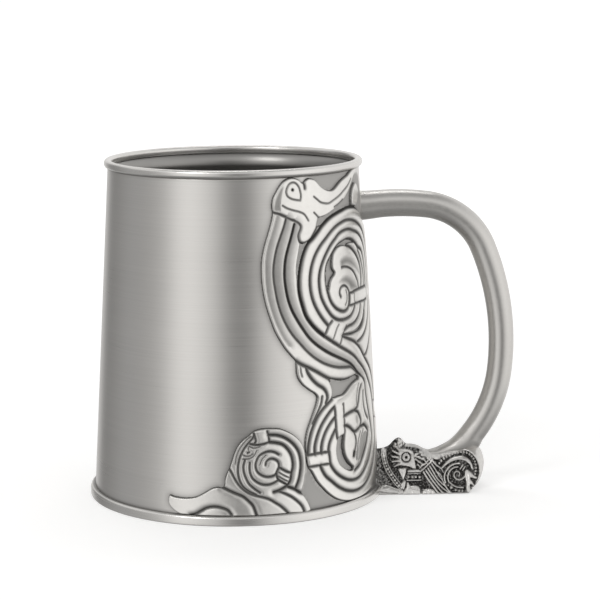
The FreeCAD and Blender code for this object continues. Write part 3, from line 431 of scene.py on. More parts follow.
def paint(canvas, outline, holes, lines, straps, dishes=(), edge=1.1, extra=(), dots=()):
    """Height above the wall, the dark value (real patina and painted shade) and distance inside the outline, for one
    ornament.
    """
    cover = canvas.signed(spline(seat(outline), closed=True), 3.0)
    for more in extra:
        cover = np.maximum(cover, canvas.signed(spline(seat(more), closed=True), 3.0))
    for hole in holes:
        cover = np.minimum(cover, -canvas.signed(spline(seat(hole), closed=True), 3.0))
    for kind, pts, *lean in lines:
        canvas.groove(seat(pts), lean=lean[0] if lean else 0.0, **KINDS[kind])
    for pts, amount in straps:
        canvas.region(seat(pts), amount, edge=0.3, spl=False, lip=0.15)
    for pts, amount, soft, dish_shade in dishes:
        canvas.region(seat(pts), amount, edge=soft)
        # each dish's inside is painted darker towards its middle: painted shade
        D = canvas.signed(spline(seat(pts), closed=True), soft + 1.0)
        canvas.dark = np.maximum(canvas.dark, dish_shade * smooth((D + 0.2) / (soft + 0.4)))
    for a, b, r in dots:
        D = np.hypot(canvas.A - a, canvas.B - b)
        canvas.cut = np.maximum(canvas.cut, 0.4 * (1 - smooth(D / r)))
        canvas.dark = np.maximum(canvas.dark, np.exp(-(D / r) ** 4))
    h = TOP + canvas.lift - canvas.cut
    side = np.where(cover > 0, -0.04 + (TOP + 0.3) * rounded(cover / edge), -0.04 + 1.6 * cover)
    h = np.minimum(h, side)
    # a dark band just inside the outline, where the casting drops to the wall: partly oxide in the join, partly painted
    # shade
    dark = np.maximum(canvas.dark, 0.92 * np.exp(-(np.maximum(cover, 0) / 0.28) ** 2))
    return h, dark, cover


# ------------------------------------------------------------------ meshes
def make_object(name, verts, faces, attrs=None, flip=False):
    """A closed, smooth mesh from vertices in millimetres and faces as arrays of equal-sized polygons or lists."""
    flat, starts, run = [], [], 0
    for block in faces:
        if isinstance(block, np.ndarray):
            if not len(block):
                continue
            b = block[:, ::-1] if flip else block
            flat.append(b.ravel())
            starts.append(run + np.arange(len(b)) * b.shape[1])
            run += b.size
        else:
            b = np.asarray(block[::-1] if flip else block)
            flat.append(b)
            starts.append(np.array([run]))
            run += len(b)
    flat = np.concatenate(flat).astype(np.int32)
    starts = np.concatenate(starts).astype(np.int32)
    mesh = bpy.data.meshes.new(name)
    mesh.vertices.add(len(verts))
    mesh.vertices.foreach_set("co", (np.asarray(verts, float) * MM).astype(np.float32).ravel())
    mesh.loops.add(len(flat))
    mesh.loops.foreach_set("vertex_index", flat)
    mesh.polygons.add(len(starts))
    mesh.polygons.foreach_set("loop_start", starts)
    mesh.update(calc_edges=True)
    mesh.validate(verbose=False)
    mesh.polygons.foreach_set("use_smooth", np.ones(len(mesh.polygons), bool))
    for key, values in (attrs or {}).items():
        a = mesh.attributes.new(key, "FLOAT", "POINT")
        a.data.foreach_set("value", np.asarray(values, np.float32))
    mesh.update()
    obj = bpy.data.objects.new(name, mesh)
    bpy.context.scene.collection.objects.link(obj)
    return obj


def lathe(name, profile, segments, attrs=None):
    """Turns a closed (radius, z) profile, listed counter-clockwise in the (r, z) plane, about the Z axis."""
    prof = np.asarray(profile, float)
    n = len(prof)
    ang = np.arange(segments) * 2 * math.pi / segments
    R = prof[:, 0][None, :]
    verts = np.stack([R * np.cos(ang)[:, None], R * np.sin(ang)[:, None], np.broadcast_to(prof[:, 1], (segments, n))], -1).reshape(-1, 3)
    i, j = np.meshgrid(np.arange(segments), np.arange(n), indexing="ij")
    i2, j2 = (i + 1) % segments, (j + 1) % n
    quads = np.stack([i * n + j, i2 * n + j, i2 * n + j2, i * n + j2], -1).reshape(-1, 4)
    full = {k: np.tile(np.asarray(v, float), segments) for k, v in (attrs or {}).items()}
    return make_object(name, verts, [quads], full)


def disc(name, profile, segments, attrs=None):
    """Turns an open (radius, z) profile whose two ends are on the axis, lower end first."""
    prof = np.asarray(profile, float)
    inner = prof[1:-1]
    n = len(inner)
    ang = np.arange(segments) * 2 * math.pi / segments
    R = inner[:, 0][None, :]
    ring = np.stack([R * np.cos(ang)[:, None], R * np.sin(ang)[:, None], np.broadcast_to(inner[:, 1], (segments, n))], -1).reshape(-1, 3)
    verts = np.vstack([ring, [[0, 0, prof[0, 1]], [0, 0, prof[-1, 1]]]])
    low, high = len(ring), len(ring) + 1
    i, j = np.meshgrid(np.arange(segments), np.arange(n - 1), indexing="ij")
    i2 = (i + 1) % segments
    quads = np.stack([i * n + j, i2 * n + j, i2 * n + j + 1, i * n + j + 1], -1).reshape(-1, 4)
    k = np.arange(segments)
    k2 = (k + 1) % segments
    tri1 = np.stack([np.full(segments, low), k2 * n, k * n], -1)
    tri2 = np.stack([k * n + n - 1, k2 * n + n - 1, np.full(segments, high)], -1)
    return make_object(name, verts, [quads, tri1, tri2], attrs)


def sample(canvas, field, a, b):
    """Bilinear reading of a canvas field, clamped to its edges."""
    u = np.clip((np.asarray(a) - canvas.a[0]) / canvas.step, 0, len(canvas.a) - 1.001)
    v = np.clip((np.asarray(b) - canvas.b[0]) / canvas.step, 0, len(canvas.b) - 1.001)
    i, j = u.astype(int), v.astype(int)
    fu, fv = u - i, v - j
    return (field[j, i] * (1 - fu) * (1 - fv) + field[j, i + 1] * fu * (1 - fv) + field[j + 1, i] * (1 - fu) * fv + field[j + 1, i + 1] * fu * fv)


BLOCK = 4


def relief(name, canvas, h, dark, cover, far=False):
    """A casting on the wall: the painted heights on top, the wall's own curve, sunk a little, underneath."""
    nj, ni = h.shape
    nbj, nbi = (nj - 1) // BLOCK, (ni - 1) // BLOCK
    block = np.zeros((nbj, nbi), bool)
    for dj in range(BLOCK + 1):
        for di in range(BLOCK + 1):
            block |= cover[dj:dj + nbj * BLOCK:BLOCK, di:di + nbi * BLOCK:BLOCK][:nbj, :nbi] > -0.22
    # a block that touches another only at a corner would pinch the casting: fill beside it
    for _ in range(3):
        a, b, c, d = block[:-1, :-1], block[1:, 1:], block[:-1, 1:], block[1:, :-1]
        pinch1 = a & b & ~c & ~d
        pinch2 = c & d & ~a & ~b
        block[:-1, 1:] |= pinch1
        block[:-1, :-1] |= pinch2
    cell = np.zeros((nj - 1, ni - 1), bool)
    cell[:nbj * BLOCK, :nbi * BLOCK] = np.repeat(np.repeat(block, BLOCK, 0), BLOCK, 1)
    used = np.zeros((nj, ni), bool)
    used[:-1, :-1] |= cell
    used[1:, :-1] |= cell
    used[:-1, 1:] |= cell
    used[1:, 1:] |= cell
    top = np.full((nj, ni), -1)
    top[used] = np.arange(used.sum())
    n_top = int(used.sum())
    lowused = np.zeros((nbj + 1, nbi + 1), bool)
    lowused[:-1, :-1] |= block
    lowused[1:, :-1] |= block
    lowused[:-1, 1:] |= block
    lowused[1:, 1:] |= block
    low = np.full(lowused.shape, -1)
    low[lowused] = n_top + np.arange(lowused.sum())
    S, Z = canvas.A[used], canvas.B[used]
    R = wall_radius(Z) + np.maximum(h[used], -0.25)
    jj, ii = np.nonzero(lowused)
    S2, Z2 = canvas.a[ii * BLOCK], canvas.b[jj * BLOCK]
    R2 = wall_radius(Z2) - 0.6
    S, Z, R = np.concatenate([S, S2]), np.concatenate([Z, Z2]), np.concatenate([R, R2])
    phi = S / S_RADIUS
    y = -R * np.sin(phi)
    verts = np.stack([R * np.cos(phi), -y if far else y, Z], -1)
    cj, ci = np.nonzero(cell)
    quads = np.stack([top[cj, ci], top[cj + 1, ci], top[cj + 1, ci + 1], top[cj, ci + 1]], -1)
    bj, bi = np.nonzero(block)
    under = np.stack([low[bj, bi], low[bj, bi + 1], low[bj + 1, bi + 1], low[bj + 1, bi]], -1)
    pad = np.pad(block, 1)
    faces = [quads, under]
    k = np.arange(BLOCK + 1)
    # edges of the block mask: (block, neighbour offset, fine vertices along the edge, coarse vertices)
    j, i = np.nonzero(block & ~pad[:-2, 1:-1])      # below
    t = np.stack([top[j * BLOCK, i * BLOCK + q] for q in k], -1)
    faces.append(np.hstack([t, low[j, i + 1][:, None], low[j, i][:, None]]))
    j, i = np.nonzero(block & ~pad[2:, 1:-1])       # above
    t = np.stack([top[(j + 1) * BLOCK, i * BLOCK + q] for q in k[::-1]], -1)
    faces.append(np.hstack([t, low[j + 1, i][:, None], low[j + 1, i + 1][:, None]]))
    j, i = np.nonzero(block & ~pad[1:-1, :-2])      # left
    t = np.stack([top[j * BLOCK + q, i * BLOCK] for q in k[::-1]], -1)
    faces.append(np.hstack([t, low[j, i][:, None], low[j + 1, i][:, None]]))
    j, i = np.nonzero(block & ~pad[1:-1, 2:])       # right
    t = np.stack([top[j * BLOCK + q, (i + 1) * BLOCK] for q in k], -1)
    faces.append(np.hstack([t, low[j + 1, i + 1][:, None], low[j, i + 1][:, None]]))
    # the sunk underside, against the wall, is fully dark: painted shade
    patina_and_shade = np.concatenate([dark[used], np.ones(int(lowused.sum()))])
    return make_object(name, verts, faces, {"patina_and_shade": patina_and_shade}, flip=far)




# ------------------------------------------------------------------ materials
def shader(name, light, shade, rough, brush, brush_scale, blotch=0.5, patina_and_shade=True, dark=(0.030, 0.029, 0.027), grain=0.0, grain_scale=900.0,
           ground=False, gain=1.0, spread=0.05, curve=1.0, dull=0.66):
    """Pewter: two close greys, brush lines and cast grain in the bump, dark oxide and painted shade where the patina
    attribute says.
    """
    mat = bpy.data.materials.new(name)
    mat.use_nodes = True
    nt = mat.node_tree
    nt.nodes.clear()
    N, L = nt.nodes.new, nt.links.new
    out = N("ShaderNodeOutputMaterial")
    b = N("ShaderNodeBsdfPrincipled")
    L(b.outputs["BSDF"], out.inputs["Surface"])
    b.inputs["Metallic"].default_value = 1.0
    b.inputs["IOR"].default_value = 1.5
    tex = N("ShaderNodeTexCoord")
    m1 = N("ShaderNodeMapping")
    m1.inputs["Scale"].default_value = (22.0, 22.0, 30.0)
    L(tex.outputs["Object"], m1.inputs["Vector"])
    clouds = N("ShaderNodeTexNoise")
    clouds.inputs["Scale"].default_value = 1.0
    clouds.inputs["Detail"].default_value = 4.0
    clouds.inputs["Roughness"].default_value = 0.55
    L(m1.outputs["Vector"], clouds.inputs["Vector"])
    m2 = N("ShaderNodeMapping")
    m2.inputs["Scale"].default_value = brush_scale
    L(tex.outputs["Object"], m2.inputs["Vector"])
    lines = N("ShaderNodeTexNoise")
    lines.inputs["Scale"].default_value = 1.0
    lines.inputs["Detail"].default_value = 3.0
    lines.inputs["Roughness"].default_value = 0.65
    L(m2.outputs["Vector"], lines.inputs["Vector"])
    # colour: cloudy mix of two greys, streaked a little by the brush lines
    mixv = N("ShaderNodeMath")
    mixv.operation = "MULTIPLY_ADD"
    L(lines.outputs["Fac"], mixv.inputs[0])
    mixv.inputs[1].default_value = 0.55
    add = N("ShaderNodeMath")
    add.operation = "MULTIPLY_ADD"
    L(clouds.outputs["Fac"], add.inputs[0])
    add.inputs[1].default_value = blotch
    add.inputs[2].default_value = 0.22 - blotch / 2
    L(add.outputs[0], mixv.inputs[2])
    ramp = N("ShaderNodeValToRGB")
    ramp.color_ramp.elements[0].position = 0.22
    ramp.color_ramp.elements[0].color = (*shade, 1)
    ramp.color_ramp.elements[1].position = 0.78
    ramp.color_ramp.elements[1].color = (*light, 1)
    L(mixv.outputs[0], ramp.inputs["Fac"])
    colour = ramp.outputs["Color"]
    # roughness: lines and clouds
    rr = N("ShaderNodeMapRange")
    rr.inputs["From Min"].default_value = 0.25
    rr.inputs["From Max"].default_value = 0.75
    rr.inputs["To Min"].default_value = rough - spread
    rr.inputs["To Max"].default_value = rough + spread
    L(mixv.outputs[0], rr.inputs["Value"])
    roughness = rr.outputs["Result"]
    if ground:
        g = N("ShaderNodeAttribute")
        g.attribute_name = "ground"
        mc = N("ShaderNodeMix")
        mc.data_type = "RGBA"
        L(g.outputs["Fac"], mc.inputs["Factor"])
        L(colour, mc.inputs["A"])
        mc.inputs["B"].default_value = (*ground, 1)
        colour = mc.outputs["Result"]
        mr = N("ShaderNodeMix")
        mr.data_type = "FLOAT"
        L(g.outputs["Fac"], mr.inputs["Factor"])
        L(roughness, mr.inputs["A"])
        mr.inputs["B"].default_value = 0.62
        roughness = mr.outputs["Result"]
    if patina_and_shade:
        p = N("ShaderNodeAttribute")
        p.attribute_name = "patina_and_shade"
        pw = N("ShaderNodeMath")
        pw.operation = "POWER"
        L(p.outputs["Fac"], pw.inputs[0])
        pw.inputs[1].default_value = curve
        # the dark mix, oxide and painted shade alike, is broken up unevenly by the clouds
        um = N("ShaderNodeMath")
        um.operation = "MULTIPLY_ADD"
        L(clouds.outputs["Fac"], um.inputs[0])
        um.inputs[1].default_value = 0.35
        um.inputs[2].default_value = 0.83
        pm = N("ShaderNodeMath")
        pm.operation = "MULTIPLY"
        pm.use_clamp = True
        L(pw.outputs[0], pm.inputs[0])
        L(um.outputs[0], pm.inputs[1])
        pg = N("ShaderNodeMath")
        pg.operation = "MULTIPLY"
        pg.use_clamp = True
        L(pm.outputs[0], pg.inputs[0])
        pg.inputs[1].default_value = gain
        mc = N("ShaderNodeMix")
        mc.data_type = "RGBA"
        L(pg.outputs[0], mc.inputs["Factor"])
        L(colour, mc.inputs["A"])
        mc.inputs["B"].default_value = (*dark, 1)
        colour = mc.outputs["Result"]
        mr = N("ShaderNodeMix")
        mr.data_type = "FLOAT"
        L(pg.outputs[0], mr.inputs["Factor"])
        L(roughness, mr.inputs["A"])
        mr.inputs["B"].default_value = dull
        roughness = mr.outputs["Result"]
    L(colour, b.inputs["Base Color"])
    L(roughness, b.inputs["Roughness"])
    # bump: brush lines, then cast grain
    bump = N("ShaderNodeBump")
    bump.inputs["Strength"].default_value = brush
    bump.inputs["Distance"].default_value = 0.0001
    L(lines.outputs["Fac"], bump.inputs["Height"])
    normal = bump.outputs["Normal"]
    if grain:
        pits = N("ShaderNodeTexNoise")
        pits.inputs["Scale"].default_value = grain_scale
        pits.inputs["Detail"].default_value = 2.0
        L(tex.outputs["Object"], pits.inputs["Vector"])
        b2 = N("ShaderNodeBump")
        b2.inputs["Strength"].default_value = grain
        b2.inputs["Distance"].default_value = 0.0002
        L(pits.outputs["Fac"], b2.inputs["Height"])
        L(normal, b2.inputs["Normal"])
        normal = b2.outputs["Normal"]
    L(normal, b.inputs["Normal"])
    return mat


ROUND = (14.0, 14.0, 2400.0)          # brush lines that run round the drum
PEWTER_WALL = shader("pewter_wall", (0.70, 0.685, 0.665), (0.60, 0.588, 0.57), 0.30, 0.10, ROUND, blotch=0.35, dark=(0.05, 0.049, 0.047), ground=(0.47, 0.461, 0.448), dull=0.38)
PEWTER_TRIM = shader("pewter_trim", (0.74, 0.725, 0.705), (0.60, 0.588, 0.57), 0.26, 0.12, ROUND, blotch=0.5, dark=(0.05, 0.049, 0.047))
PEWTER_HANDLE = shader("pewter_handle", (0.65, 0.636, 0.612), (0.55, 0.538, 0.52), 0.34, 0.16, (900.0, 260.0, 900.0), blotch=0.5)
PEWTER_CAST = shader("pewter_cast", (0.84, 0.825, 0.80), (0.68, 0.667, 0.645), 0.32, 0.10, (420.0, 420.0, 620.0), blotch=0.6, grain=0.10, dark=(0.055, 0.053, 0.050))
PEWTER_OXIDE = shader("pewter_oxidised", (0.78, 0.765, 0.745), (0.46, 0.452, 0.44), 0.36, 0.16, (500.0, 500.0, 700.0), blotch=0.9, grain=0.30, dark=(0.040, 0.0386, 0.0365))
SOLDER = shader("solder_bright", (0.86, 0.85, 0.79), (0.72, 0.71, 0.66), 0.22, 0.10, (500.0, 500.0, 500.0), blotch=0.6, patina_and_shade=False)


def dress(obj, mat, node):
    obj.data.materials.clear()
    obj.data.materials.append(mat)
    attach(obj, "root")
    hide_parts(node)




# ------------------------------------------------------------------ flank ornaments
knot = Canvas(2.0, 2.0 + 0.26 * 256, 2.2, 2.2 + 0.26 * 440, 0.26)
knot_h, knot_dark, knot_cover = paint(knot, KNOT, KNOT_HOLES, KNOT_LINES, KNOT_STRAPS, KNOT_DISHES, extra=[LEAF], dots=[(float(seat([PUPIL])[0, 0]), PUPIL[1], 0.62)])
scroll = Canvas(48.6, 48.6 + 0.20 * 244, 2.4, 2.4 + 0.20 * 156, 0.20)
scroll_h, scroll_dark, scroll_cover = paint(scroll, SCROLL, SCROLL_HOLES, SCROLL_LINES, SCROLL_STRAPS, edge=0.9)
for side, far in (("near", False), ("far", True)):
    piece = relief("ornament_knotwork_" + side, knot, knot_h, knot_dark, knot_cover, far)
    dress(piece, PEWTER_CAST, "knotwork_mount_" + side)
    piece = relief("ornament_scroll_" + side, scroll, scroll_h, scroll_dark, scroll_cover, far)
    dress(piece, PEWTER_CAST, "scroll_mount_" + side)

# matte ground left between the ornament's parts, as (arc length, height)
GROUND = KNOT_HOLES + [
    [(22.0, 115.5), (25.0, 114.0), (30.0, 112.4), (34.0, 110.3), (36.0, 109.9), (39.0, 110.8), (42.0, 112.8), (44.5, 114.5), (46.0, 115.5)],
    [(50.5, 18.0), (51.2, 16.0), (52.0, 12.5), (52.8, 9.7), (51.3, 7.0), (50.4, 3.4), (37.0, 3.6), (41.0, 5.6), (44.6, 8.6), (47.2, 11.6), (49.0, 15.0)],
    [(26.4, 107.4), (29.6, 105.6), (33.5, 103.8), (36.4, 102.6), (39.2, 101.7), (42.2, 101.0), (42.9, 99.7), (43.1, 98.5), (41.4, 98.7), (38.6, 100.4),
     (36.2, 101.5), (33.4, 102.3), (30.0, 103.0), (26.6, 103.5), (20.0, 103.0), (14.0, 100.0), (10.0, 100.0), (10.0, 112.0), (16.0, 114.0), (20.4, 112.4)],
]

# ------------------------------------------------------------------ drum
SEG = 400
rows = np.concatenate([np.linspace(0.0, H_WALL, 156)])
inner_rows = np.linspace(H_WALL, 0.0, 24)
prof_r = np.concatenate([wall_radius(rows), wall_radius(inner_rows) - WALL])
prof_z = np.concatenate([rows, inner_rows])
n_out = len(rows)
ang = np.arange(SEG) * 2 * math.pi / SEG
fold = np.abs((ang + math.pi) % (2 * math.pi) - math.pi)          # azimuth, the same for both sides
SS, ZZ = np.meshgrid(fold * S_RADIUS, rows, indexing="ij")
# round the ornaments the wall is painted darker, fading over about a millimetre: partly oxide in the join, partly
# painted shade; less of it in the narrow ground between their parts
edge = np.zeros(SS.shape)
for cv, cover in ((knot, knot_cover), (scroll, scroll_cover)):
    inside = (SS >= cv.a[0] - 0.1) & (SS <= cv.a[-1] + 0.1) & (ZZ >= cv.b[0] - 0.1) & (ZZ <= cv.b[-1] + 0.1)
    d = np.where(inside, sample(cv, cover, SS, ZZ), -3.0)
    edge = np.maximum(edge, np.where(d <= -2.9, 0.0, np.exp(-np.maximum(-d, 0) / 0.85) - 0.03))
ground = np.zeros(SS.shape)
for poly in GROUND:
    p = spline(seat(poly), closed=True)
    D = knot.signed(p, 1.5)
    inside = (SS <= knot.a[-1]) & (ZZ <= knot.b[-1]) & (SS >= knot.a[0])
    ground = np.maximum(ground, np.where(inside, smooth(sample(knot, D, SS, ZZ) / 0.5 + 0.5), 0))
# a painted shade line just under the rim bead, and a darker line along the wall's join with the foot ring
lines = np.exp(-(H_WALL - ZZ) / 0.45) * 0.30 + np.exp(-np.maximum(ZZ - foot_hi[2], 0) / 0.45) * 0.62
patina_and_shade = np.clip(np.maximum(0.52 * edge * np.where(ground > 0.3, np.clip(edge, 0, 1) ** 1.2, 1.0), lines), 0, 1)
# the inside wall is painted darker, most of all deep down: painted shade inside the drum
inner_painted_shade = np.interp(H_WALL - inner_rows, [0, 5, 10, 20, 60], [0.50, 0.60, 0.56, 0.40, 0.30])
full_p = np.hstack([patina_and_shade, np.broadcast_to(inner_painted_shade, (SEG, len(inner_rows)))])
full_g = np.hstack([ground, np.zeros((SEG, len(inner_rows)))])
n = len(prof_r)
verts = np.stack([prof_r[None] * np.cos(ang)[:, None], prof_r[None] * np.sin(ang)[:, None], np.broadcast_to(prof_z, (SEG, n))], -1).reshape(-1, 3)
i, j = np.meshgrid(np.arange(SEG), np.arange(n), indexing="ij")
i2, j2 = (i + 1) % SEG, (j + 1) % n
quads = np.stack([i * n + j, i2 * n + j, i2 * n + j2, i * n + j2], -1).reshape(-1, 4)
drum = make_object("drum_wall", verts, [quads], {"patina_and_shade": full_p.ravel(), "ground": full_g.ravel()})
dress(drum, PEWTER_WALL, "drum")

# ------------------------------------------------------------------ rim, foot, base
rc, rz = (rim_lo[2] + rim_hi[2]) / 2, (rim_hi[2] - rim_lo[2]) / 2 + 0.12
r_in, r_out = float(wall_radius(rc)) - WALL - 0.04, rim_hi[1]
prof = []
for t in np.linspace(0, 2 * math.pi, 33)[:-1]:
    c, s = math.cos(t), math.sin(t)
    # inside, the bead runs straight down into the wall
    across = -1.0 if (c < -0.3 and s < 0) else math.copysign(abs(c) ** 0.80, c)
    prof.append(((r_in + r_out) / 2 + (r_out - r_in) / 2 * across, rc + rz * math.copysign(abs(s) ** 0.80, s)))
prof = np.array(prof)
# the outer underside of the bead is painted darker: painted shade under the bead
rim = lathe("rim_rolled", prof, 256, {"patina_and_shade": np.exp(-np.maximum(prof[:, 1] - rim_lo[2], 0) / 0.22) * (prof[:, 0] > (r_in + r_out) / 2) * 0.35})
dress(rim, PEWTER_TRIM, "rim_bead")

zf = foot_hi[2]
rf = foot_hi[1]
upper = [(rf - 1.3 + 1.3 * math.cos(t), zf - 1.25 + 1.2 * math.sin(t)) for t in np.linspace(0, math.pi / 2, 9)]
upper = [(max(r, float(wall_radius(z)) - 0.3), z) for r, z in upper]
prof = [(float(wall_radius(0)) - 0.5, 0.0), (rf - 0.22, 0.0), (rf - 0.1, 0.05), (rf - 0.03, 0.16), (rf, 0.35), (rf, 1.0)] + upper + [(float(wall_radius(zf)) - 0.5, zf)]
prof = np.array(prof)
keep = np.concatenate([[True], np.hypot(*np.diff(prof, axis=0).T) > 1e-3])
prof = prof[keep]
# the foot moulding is darker along its top edge, at the join with the wall
foot = lathe("foot_moulding", prof, 256, {"patina_and_shade": smooth((prof[:, 1] - zf + 0.30) / 0.25) * 0.6})
dress(foot, PEWTER_TRIM, "foot_ring")

zp0, zp1 = plate_lo[2], plate_hi[2]
rp = plate_hi[1]
plate = disc("base_plate", [(0, zp0), (rp * 0.34, zp0), (rp * 0.67, zp0), (rp - 0.1, zp0), (rp, zp0 + 0.1), (rp, zp1 - 0.1), (rp - 0.1, zp1), (rp * 0.67, zp1), (rp * 0.34, zp1), (0, zp1)], 192)
plate.data.attributes.new("patina_and_shade", "FLOAT", "POINT")
plate.data.attributes.new("ground", "FLOAT", "POINT")
dress(plate, PEWTER_WALL, "bottom_plate")

f0, f1 = fillet_lo[2], fillet_hi[2]
ro = fillet_hi[1]
prof = [(ro, f0 - 0.05), (ro - 0.02, f1)] + [(ro - 1.15 * (1 - math.cos(t)), f1 - 1.15 * math.sin(t)) for t in np.linspace(0.1, math.pi / 2, 7)] + [(ro - 1.3, f0 - 0.05)]
fillet = lathe("base_solder", prof, 192)
dress(fillet, SOLDER, "bottom_solder_fillet")

# ------------------------------------------------------------------ handle
def arc_path(start, heading, arcs, step=0.8):
    """Points and headings along tangent arcs in the XZ plane: (end x, end z, radius, turn) in turn."""
    P, Hd = [np.array(start, float)], [heading]
    for ex, ez, R in arcs:
        d = np.array([ex, ez]) - P[-1]
        chord = np.hypot(*d)
        t = np.array([math.cos(Hd[-1]), math.sin(Hd[-1])])
        cross = t[0] * d[1] - t[1] * d[0]
        turn = 2 * math.asin(min(1.0, chord / (2 * R))) * (1 if cross > 0 else -1)
        n = max(2, int(R * abs(turn) / step))
        side = 1 if cross > 0 else -1
        c = P[-1] + side * R * np.array([-t[1], t[0]])
        a0 = math.atan2(*(P[-1] - c)[::-1])
        h0 = Hd[-1]
        for k in range(1, n + 1):
            a = a0 + turn * k / n
            P.append(c + R * np.array([math.cos(a), math.sin(a)]))
            Hd.append(h0 + turn * k / n)
    return np.array(P), np.array(Hd)


path, head = arc_path((42.0, 100.743), 0.0, [
    (48.171, 101.092, 54.79), (67.425, 100.971, 81.0), (87.164, 85.903, 24.70), (93.408, 42.168, 89.16), (77.486, 12.0, 46.36)])
begin = float(wall_radius(100.8)) - 1.03
keep = (path[:, 0] >= begin) & ~((path[:, 1] < 18.8) & (path[:, 0] < 92.9))
path, head = np.vstack([[begin, np.interp(begin, path[:8, 0], path[:8, 1])], path[keep]]), np.concatenate([[0.05], head[keep]])
run = np.concatenate([[0], np.cumsum(np.hypot(*np.diff(path, axis=0).T))])
radius = np.interp(run, [0, 3, 8, 25, 45, 75, 110, 135, 150, 160], [5.20, 5.05, 4.86, 4.68, 4.52, 4.42, 4.38, 4.38, 4.40, 4.40])
normal = np.stack([-np.sin(head), np.cos(head)], -1)
sections = [(p - nv * r, p + nv * r, r) for p, nv, r in zip(path, normal, radius)]
# the low end flares into the terminal: (inner x, inner z, outer x, outer z, half depth)
FLARE = [
    (79.20, 19.80, 87.00, 15.00, 4.36), (77.60, 18.00, 86.50, 14.10, 4.20), (75.64, 16.20, 85.40, 13.20, 3.95), (73.15, 14.76, 83.60, 12.20, 3.70),
    (70.60, 13.60, 81.60, 11.20, 3.50), (68.20, 12.90, 79.60, 10.40, 3.20), (66.40, 12.20, 77.60, 9.60, 2.70),
]
last = sections[-1]
pts = [np.array([last[0][0], last[0][1], last[1][0], last[1][1], last[2]])] + [np.array(f, float) for f in FLARE]
mid = np.array([[(p[0] + p[2]) / 2, (p[1] + p[3]) / 2] for p in pts])
away = np.concatenate([[0], np.cumsum(np.hypot(*np.diff(mid, axis=0).T))])
fine = np.linspace(0, away[-1], 44)[1:]
track = np.array(pts)
dense = spline(np.column_stack([away, track[:, 0]]), 0.2), spline(np.column_stack([away, track[:, 1]]), 0.2), spline(np.column_stack([away, track[:, 2]]), 0.2), spline(np.column_stack([away, track[:, 3]]), 0.2)
for q in fine:
    v = [np.interp(q, d[:, 0], d[:, 1]) for d in dense]
    sections.append((np.array(v[:2]), np.array(v[2:]), float(np.interp(q, away, track[:, 4]))))
NR = 72
tt = np.arange(NR) * 2 * math.pi / NR
ring = []
for a, b, r in sections:
    c, d = (a + b) / 2, (b - a) / 2
    ring.append(np.stack([c[0] + d[0] * np.cos(tt), r * np.sin(tt), c[1] + d[1] * np.cos(tt)], -1))
K = len(sections)
verts = np.vstack(ring)
i, j = np.meshgrid(np.arange(K - 1), np.arange(NR), indexing="ij")
j2 = (j + 1) % NR
quads = np.stack([i * NR + j, i * NR + j2, (i + 1) * NR + j2, (i + 1) * NR + j], -1).reshape(-1, 4)
heights = np.array([(a[1] + b[1]) / 2 for a, b, r in sections])
xs = np.array([(a[0] + b[0]) / 2 for a, b, r in sections])
shade = np.repeat(np.where(heights < 40, 0.30 * np.exp(-np.maximum(heights - 13.0, 0) / 2.5), 0.0), NR)
bar = make_object("handle_bar", verts, [quads, list(range(NR))[::-1], list(range((K - 1) * NR, K * NR))], {"patina_and_shade": shade})
dress(bar, PEWTER_HANDLE, "handle")

# bright solder neck between the wall and the bar
cz = (collar_lo[2] + collar_hi[2]) / 2
x0, x1 = collar_lo[0], collar_hi[0]
stations = np.linspace(0, 1, 13)
ring = []
for q in stations:
    fall = (1 - q) ** 2.2
    ring.append((x0 + 0.2 + 1.5 * q, 4.84 + 0.55 * fall))
NC = 64
ta = np.arange(NC) * 2 * math.pi / NC
loops = []
for k, (x, r) in enumerate(ring):
    yy, zz = r * np.cos(ta), r * np.sin(ta)
    # each ring bends with the wall, less and less
    bend = (np.sqrt(np.maximum(wall_radius(cz) ** 2 - yy ** 2, 1)) - wall_radius(cz)) * (1 - stations[k]) - zz * 0.0582 * (1 - stations[k])
    loops.append(np.stack([x - 0.55 * (1 - stations[k]) + bend, yy, cz + zz], -1))
inner = [np.stack([loops[-1][:, 0] + 0.0, 4.2 * np.cos(ta), cz + 4.2 * np.sin(ta)], -1), np.stack([loops[0][:, 0] + 0.0, 4.2 * np.cos(ta), cz + 4.2 * np.sin(ta)], -1)]
loops += inner
verts = np.vstack(loops)
nl = len(loops)
i, j = np.meshgrid(np.arange(nl), np.arange(NC), indexing="ij")
i2, j2 = (i + 1) % nl, (j + 1) % NC
quads = np.stack([i * NC + j, i * NC + j2, i2 * NC + j2, i2 * NC + j], -1).reshape(-1, 4)
collar = make_object("handle_solder_neck", verts, [quads], flip=True)
dress(collar, SOLDER, "handle_collar")



